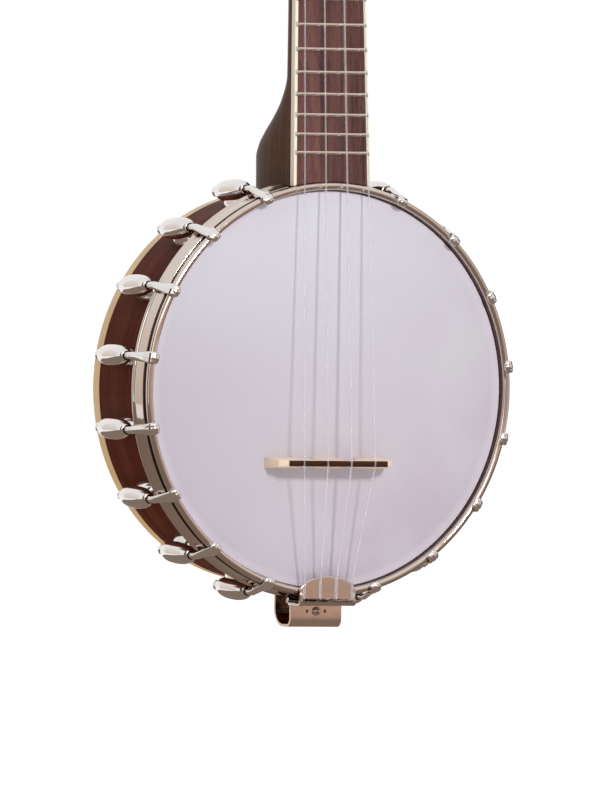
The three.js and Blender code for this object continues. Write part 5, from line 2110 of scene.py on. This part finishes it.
@dataclass
class Strings:
    """Four strings from the tailpiece to their posts.

    Args:
        tail_spread: Distance between the outer strings at the tailpiece.
        over: Depth of a string's underside where it lies on the cover.
        bridge_depth: Depth of the strings on the bridge.
    """

    tail_spread: float = 28.3
    over: float = -4.25
    bridge_depth: float = -14.0

    def winding(self, index: int, headstock: Matrix) -> list[Vector]:
        """Two turns of a string round its post.

        Args:
            index: The string, from 0.
            headstock: The headstock's frame.

        Returns:
            Its points.
        """
        side, row = (-1 if index < 2 else 1), FIT.rows[0 if index in (0, 3) else 1]
        diameter, steps, front, pitch = FIT.diameters[index], 48, -9.5, 1.5
        radius = FIT.post_bore + diameter / 2
        points = []
        for i in range(2 * steps + 1):
            angle = TAU * i / steps
            x = side * (FIT.post_x - radius * math.cos(angle))
            points.append(headstock @ Vector((x, front + pitch * i / steps, row + radius * math.sin(angle))))
        along = (points[-1] - points[-2]).normalized()
        return [*points, points[-1] + along * diameter]

    def path(self, index: int, frames: Frames) -> list[Vector]:
        """The whole route of one string.

        Args:
            index: The string, from 0.
            frames: The part's frames.

        Returns:
            Its points.
        """
        share, corner, inside, over_foot, nut_end = index / 3 - 0.5, 1.6, -1.35, -107.6, 240.97
        tail, bridge, nut = self.tail_spread * share, FIT.bridge_spread * share, FIT.nut_spread * share
        over = self.over - FIT.diameters[index] / 2
        route = [
            Vector((tail, inside, FIT.slit)),
            Vector((tail, FIT.cover_front, FIT.slit)),
            Vector((tail, over, over_foot)),
            Vector((tail, over, FIT.cover_top)),
            Vector((bridge, self.bridge_depth, FIT.bridge)),
            frames.neck @ Vector((nut, FIT.nut_floor, FIT.board_length)),
            frames.neck @ Vector((nut, FIT.nut_floor, nut_end)),
        ]
        wound = self.winding(index, frames.headstock)
        return [*eased_path([*route, wound[0]], corner)[:-1], *wound]

    def dress(self, placer: Placer, palette: Palette) -> None:
        """Adds the strings.

        Args:
            placer: Places each piece.
            palette: The finishes.
        """
        for i, diameter in enumerate(FIT.diameters):
            body = tube(self.path(i, placer.frames), diameter / 2, 14)
            placer.add(f"string_{i + 1}", body, palette.nylon, sharp=80)


# Tuners


@dataclass
class Tuner:
    """One geared tuner, in the headstock's frame.

    Args:
        name: Ending of its pieces' names.
        side: -1 on the left, 1 on the right.
        height: Its post's height along the headstock.
        worm: Depth and height of the worm from the post, behind the headstock.
        back: Depth of its housing's back behind the headstock.
    """

    name: str
    side: int
    height: float
    worm: tuple[float, float] = (5.8, -7.7)
    back: float = 11.3

    def worm_lift(self) -> Matrix:
        """The place of the worm's axis in the post's frame."""
        return Matrix.Translation((0, FIT.headstock + self.worm[0], self.worm[1]))

    def housing(self) -> Form:
        """The closed gear housing with its threaded bushing through the headstock.

        Returns:
            The finished form.
        """
        front, back = FIT.headstock + 0.05, FIT.headstock + self.back
        half, foot, wall, front_wall, corner = 6.8, -11.9, 1.5, 1.75, 1.6
        bushing_radius, shaft_bore = 4.7, 1.9
        outline = rounded([(-half, foot), (half, foot), (half, half), (-half, half)], corner, 5)
        shell = Form(prism(outline, front, back, Along.Y)).bevel(0.7).solid()
        inner, low = half - wall, foot + wall
        outline = [(-inner, low), (inner, low), (inner, inner), (-inner, inner)]
        hollow = prism(outline, front + front_wall, back - wall, Along.Y)
        bushing = bar([(bushing_radius, -1.0), (bushing_radius, front + 1.0)], Along.Y, 40)
        bore = bar([(FIT.post_bore, -4.0), (FIT.post_bore, front + 3.0)], Along.Y, 40)
        shaft = bar([(shaft_bore, -9.0), (shaft_bore, 9.0)], Along.X, 28).moved(self.worm_lift())
        return Form(shell).join(bushing).cut(hollow, bore, shaft)

    def bushing_nut(self) -> Form:
        """The washer and hexagon nut on the headstock's face.

        Returns:
            The finished form.
        """
        washer_radius, nut_radius, top = 6.7, 6.1, -2.0
        washer = bar(rounded_bar(washer_radius, -0.75, -FIT.gap, 0.2), Along.Y, 48)
        nut = hexagon(nut_radius, 0.35, top, -0.7, Along.Y)
        bore = bar([(FIT.post_bore, 2 * top), (FIT.post_bore, -top)], Along.Y, 40)
        return Form(washer).join(nut).cut(bore)

    def post(self) -> Form:
        """The string post with its hole, and the toothed wheel inside the housing.

        Returns:
            The finished form.
        """
        radius, waist = 3.0, [(2.75, -11.0), (2.7, -6.5)]
        crown = [(1.6, -14.0), (2.5, -13.8), (radius, -13.2), (radius, -11.6)]
        profile = [*crown, *waist, (radius, -5.6), (radius, 22.5)]
        hole_radius, hole_depth = 0.8, -7.4
        hole = bar([(hole_radius, -5.0), (hole_radius, 5.0)], Along.X, 20)
        hole = hole.moved(Matrix.Translation((0, hole_depth, 0)))
        teeth, depth, outside, thickness = 14, 0.625, 5.0, 4.0
        rim = []
        for i in range(4 * teeth):
            angle = TAU * (i - 0.5) / (4 * teeth)
            reach = outside - (depth if i % 4 in (2, 3) else 0.0)
            rim.append((reach * math.cos(angle), reach * math.sin(angle)))
        middle = FIT.headstock + self.worm[0]
        wheel = prism(rim, middle - thickness / 2, middle + thickness / 2, Along.Y)
        return Form(bar(profile, Along.Y, 40)).cut(hole).join(wheel)

    def key_shaft(self) -> Solid:
        """The worm and its shaft, with the collar that the button sits on.

        Returns:
            The closed body.
        """
        side, shaft, root, tip, pitch = self.side, 1.6, 1.75, 2.4, 1.6
        profile = [(shaft, -6.8), (shaft, -5.0)]
        for i in range(6):
            start = -4.9 + pitch * i
            profile += [(root, start), (tip, start + 0.4), (tip, start + 0.8), (root, start + 1.2)]
        collar = [(2.4, 11.7), (3.2, 12.6), (3.2, 14.0), (2.6, 14.8)]
        profile += [(shaft, 5.0), (shaft, 11.4), *collar, (shaft, 14.9), (shaft, 16.0)]
        shape = bar(profile, Along.X, 32).bent(lambda p: Vector((side * p.x, p.y, p.z)))
        return shape.moved(self.worm_lift())

    def button(self) -> Solid:
        """The pearl button: a flattened, slightly waisted oval.

        Returns:
            The closed body.
        """
        count, sides, end_size = 22, 36, 0.02
        start, length, half_height, half_depth = 13.4, 11.0, 8.5, 4.0
        rings = []
        for i in range(count + 1):
            t = i / count
            bulge = math.sqrt(max(1 - (2 * t - 1) ** 2, 0.0))
            size = bulge * (0.93 + 0.07 * t) if 0 < i < count else end_size
            high, thick = half_height * size, half_depth * size * (0.86 + 0.14 * bulge)
            ring = []
            for k in range(sides):
                c, s = math.cos(TAU * k / sides), math.sin(TAU * k / sides)
                y = thick * math.copysign(abs(s) ** 0.9, s)
                ring.append(self.worm_lift() @ Vector((self.side * (start + length * t), y, high * c)))
            rings.append(ring)
        return lofted(rings)

    def dress(self, placer: Placer, palette: Palette) -> None:
        """Adds the tuner's pieces on their bodies.

        Args:
            placer: Places each piece.
            palette: The finishes.
        """
        place = placer.frames.headstock @ Matrix.Translation((self.side * FIT.post_x, 0, self.height))
        name, nickel = self.name, palette.nickel
        housing, post, key = f"tuner_housing_{name}", f"tuner_post_{name}", f"tuner_key_{name}"
        placer.add(housing, self.housing(), nickel, place)
        placer.add(f"tuner_nut_{name}", self.bushing_nut(), nickel, place, node=housing)
        placer.add(post, self.post(), nickel, place, f"post_{name}")
        placer.add(key, self.button(), palette.pearl, place, f"key_{name}", sharp=70)
        placer.add(f"tuner_shaft_{name}", self.key_shaft(), nickel, place, f"key_{name}", node=key)


# Studio


BLACK: Tint = (0.0, 0.0, 0.0, 1.0)
WHITE: Tint = (1.0, 1.0, 1.0, 1.0)


def seen_directly(graph: Graph) -> Socket:
    """One for camera, glossy and transmission rays, which see the white studio.

    Args:
        graph: The material's node graph.

    Returns:
        The mask's socket.
    """
    path = graph.node("ShaderNodeLightPath").outputs
    through = graph.math("MAXIMUM", path["Is Glossy Ray"], path["Is Transmission Ray"])
    return graph.math("MAXIMUM", path["Is Camera Ray"], through)


@dataclass(frozen=True)
class Card:
    """A studio card that only shows in reflections.

    Args:
        name: The card's name.
        centre: Its middle, in metres from the drum's centre.
        width: Its width in metres.
        height: Its height in metres.
        facing: The direction that it faces.
        low: Its colour at the lower edge.
        middle: Its colour half way up.
        high: Its colour at the upper edge.
        strength: How bright it is.
    """

    name: str
    centre: tuple[float, float, float]
    width: float
    height: float
    facing: tuple[float, float, float]
    low: Colour
    middle: Colour
    high: Colour
    strength: float = 1.0

    def stand(self, origin: Vector) -> None:
        """Adds the card round an origin.

        Args:
            origin: The point it stands round.
        """
        x, y = self.width / 2, self.height / 2
        mesh = bpy.data.meshes.new(self.name)
        mesh.from_pydata([(-x, -y, 0), (x, -y, 0), (x, y, 0), (-x, y, 0)], [], [(0, 1, 2, 3)])
        finish = Finish(self.name, "")
        graph = finish.graph
        rise = graph.node("ShaderNodeSeparateXYZ", {0: finish.place}).outputs["Y"]
        lower = graph.blend(graph.range(rise, -y, 0.0), (*self.low, 1.0), (*self.middle, 1.0))
        tint = graph.blend(graph.range(rise, 0.0, y), lower, (*self.high, 1.0))
        finish.set(Base_Color=BLACK, Specular_IOR_Level=0.0)
        finish.set(Emission_Color=tint, Emission_Strength=self.strength)
        finish.material.cycles.emission_sampling = "NONE"
        mesh.materials.append(finish.material)
        card = linked(self.name, mesh)
        turn = Vector(self.facing).to_track_quat("Z", "Y").to_matrix().to_4x4()
        card.matrix_world = Matrix.Translation(origin + Vector(self.centre)) @ turn
        card.visible_camera = card.visible_diffuse = card.visible_shadow = False
        card.visible_transmission = card.visible_volume_scatter = False
        card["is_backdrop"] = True


@dataclass
class Studio:
    """Floor, lights, surroundings and the camera at the photograph's angle.

    Args:
        origin: The drum's centre in metres.
        lowest: Height of the object's lowest point in metres.
        azimuth: The camera's angle round the object in degrees.
        elevation: Its angle over the horizon.
        roll: How far the picture leans.
        distance: Its distance in metres.
        scale: Pixels for a metre at the drum.
        drum_pixel: Where the drum's centre lies in the picture.
        picture: Width and height of the picture in pixels.
        floor_gap: Height of the object over the floor.
    """

    origin: Vector
    lowest: float
    azimuth: float = -28.85
    elevation: float = 1.13
    roll: float = 1.14
    distance: float = 12.0
    scale: float = 1932.3
    drum_pixel: tuple[float, float] = (328.5, 389.74)
    picture: tuple[float, float] = (606.0, 800.0)
    floor_gap: float = 0.3

    def camera(self) -> None:
        """Adds the camera, aimed so that the drum's centre lies where the photograph has it."""
        data = bpy.data.cameras.new("camera")
        data.sensor_width = 36.0
        long_side = max(self.picture)
        data.lens = data.sensor_width * self.scale * self.distance / long_side
        data.clip_end = 100.0
        azimuth, elevation = math.radians(self.azimuth), math.radians(self.elevation)
        flat = Vector((math.sin(azimuth), -math.cos(azimuth), 0)) * math.cos(elevation)
        away = flat + Vector((0, 0, math.sin(elevation)))
        turn = away.to_track_quat("Z", "Y").to_matrix() @ Matrix.Rotation(math.radians(self.roll), 3, "Z")
        right, up = turn.col[0], turn.col[1]
        off_x = (self.drum_pixel[0] - self.picture[0] / 2) / self.scale
        off_y = (self.picture[1] / 2 - self.drum_pixel[1]) / self.scale
        target = self.origin - right * off_x - up * off_y
        camera = linked("camera", data)
        camera.matrix_world = Matrix.Translation(target + away * self.distance) @ turn.to_4x4()
        bpy.context.scene.camera = camera

    def floor(self) -> None:
        """Adds the pale floor under the object."""
        half = 30.0
        mesh = bpy.data.meshes.new("floor")
        corners = [(-half, -half, 0), (half, -half, 0), (half, half, 0), (-half, half, 0)]
        mesh.from_pydata(corners, [], [(0, 1, 2, 3)])
        finish = Finish("floor_paint", "")
        glow: Tint = (0.62, 0.62, 0.62, 1.0)
        white = finish.graph.blend(seen_directly(finish.graph), BLACK, glow)
        finish.set(Base_Color=srgb(246, 246, 246), Roughness=0.9, Specular_IOR_Level=0.0)
        finish.set(Emission_Color=white, Emission_Strength=1.0)
        mesh.materials.append(finish.material)
        plane = linked("floor", mesh)
        plane.location = (0, 0, self.lowest - self.floor_gap)
        plane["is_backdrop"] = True

    def key_light(self) -> None:
        """Adds a square area light that faces the drum from the front and above."""
        slope, distance, size, power, colour = math.radians(22.5), 2.5, 0.35, 28.0, (1.0, 0.99, 0.98)
        data = bpy.data.lights.new("key", "AREA")
        data.shape, data.size, data.energy, data.color = "SQUARE", size, power, colour
        away = Vector((0.0, -math.cos(slope), math.sin(slope))).normalized()
        place = Matrix.Translation(self.origin + away * distance)
        linked("key", data).matrix_world = place @ away.to_track_quat("Z", "Y").to_matrix().to_4x4()

    def cards(self) -> None:
        """Adds the cards that the plating reflects: a warm wall, dark sides, a soft box and a brown table."""
        drop = self.origin.z - self.lowest + self.floor_gap - 0.01
        dark, brown = (0.05, 0.04, 0.035), (0.26, 0.20, 0.165)
        wall = ((0.20, 0.13, 0.09), (0.60, 0.43, 0.36), (0.80, 0.66, 0.58))
        shade = (dark, dark, (0.09, 0.075, 0.065))
        bright = ((0.95, 0.95, 1.0), (1.0, 1.0, 1.0), (1.0, 0.98, 0.95))
        rear = ((0.32, 0.26, 0.22), (0.84, 0.74, 0.65), (1.0, 0.98, 0.98))
        for card in (
            Card("wall_card", (0.0, -4.0, -0.4), 14.0, 5.2, (0, 1, 0), *wall),
            Card("left_card", (-3.2, 0.0, 0.0), 1.6, 6.0, (1, 0, 0), *shade),
            Card("right_card", (3.2, 0.0, 0.0), 1.6, 6.0, (-1, 0, 0), *shade),
            Card("rear_card", (-2.3, 3.0, 0.0), 2.6, 4.4, (0.6, -0.8, 0), *rear),
            Card("soft_box", (-1.1, -3.1, 1.65), 1.8, 1.3, (0.33, 0.85, -0.42), *bright, 3.0),
            Card("window_card", (-2.4, -1.5, 0.9), 0.8, 1.1, (0.81, 0.5, -0.3), *bright, 1.9),
            Card("low_card", (-1.5, -2.4, -1.0), 0.5, 0.35, (0.5, 0.8, 0.33), *bright, 1.9),
            Card("camera_card", (-1.25, -2.28, 0.05), 0.45, 0.6, (0.48, 0.876, 0), *shade),
            Card("table_card", (0.0, -1.2, -drop), 6.4, 5.6, (0, 0, 1), brown, brown, (0.30, 0.24, 0.20)),
        ):
            card.stand(self.origin)

    def surroundings(self) -> None:
        """White behind the object and in its reflections, and soft light for its surfaces."""
        world = bpy.data.worlds.new("studio")
        bpy.context.scene.world = world
        world.use_nodes = True
        graph = Graph(world.node_tree)
        background = world.node_tree.nodes["Background"]
        below, above = (0.35, 0.34, 0.35, 1.0), (0.52, 0.52, 0.54, 1.0)
        sky = graph.node("ShaderNodeTexCoord").outputs["Generated"]
        rise = graph.node("ShaderNodeSeparateXYZ", {0: sky}).outputs["Z"]
        level = graph.range(rise, -1.0, 1.0)
        soft = graph.blend(level, below, above)
        colour = graph.blend(seen_directly(graph), soft, WHITE)
        world.node_tree.links.new(colour, background.inputs["Color"])
        background.inputs["Strength"].default_value = 1.0

    def build(self) -> None:
        """Adds everything round the object."""
        self.camera()
        self.floor()
        self.key_light()
        self.cards()
        self.surroundings()
        bpy.context.scene.view_settings.view_transform = "Standard"


def found_frames() -> Frames:
    """The drum's, neck's and headstock's frames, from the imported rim's box.

    Returns:
        The frames.
    """
    low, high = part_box("rim")
    origin = Vector(((low.x + high.x) / 2, low.y - FIT.rim_front * MM, (low.z + high.z) / 2))
    neck = Matrix.Translation((0, FIT.neck_front, FIT.board_foot))
    neck @= Matrix.Rotation(-math.radians(FIT.neck_lean), 4, "X")
    headstock = neck @ Matrix.Translation((0, FIT.board, FIT.headstock_foot))
    return Frames(origin, neck, headstock @ Matrix.Rotation(-math.radians(FIT.headstock_lean), 4, "X"))


def corners(bounds: tuple[Vector, Vector]) -> list[list[float]]:
    """A box as plain lists."""
    return [list(corner) for corner in bounds]


def main() -> None:
    """Builds the scene."""
    logging.basicConfig(level=logging.INFO)
    cad_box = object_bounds()
    frames = found_frames()
    Studio(frames.origin, cad_box[0][2]).build()
    placer, palette = Placer(frames), Palette()
    tuners = [
        Tuner(f"{row}_{side_name}", side, height)
        for row, height in zip(("lower", "upper"), FIT.rows, strict=True)
        for side_name, side in (("left", -1), ("right", 1))
    ]
    for part in (Drum(), Hooks(), CoordinatorRod(), Tailpiece(), Bridge(), Neck(), Strings(), *tuners):
        part.dress(placer, palette)
        LOG.info("dressed %s", type(part).__name__)


if __name__ == "__main__":
    main()
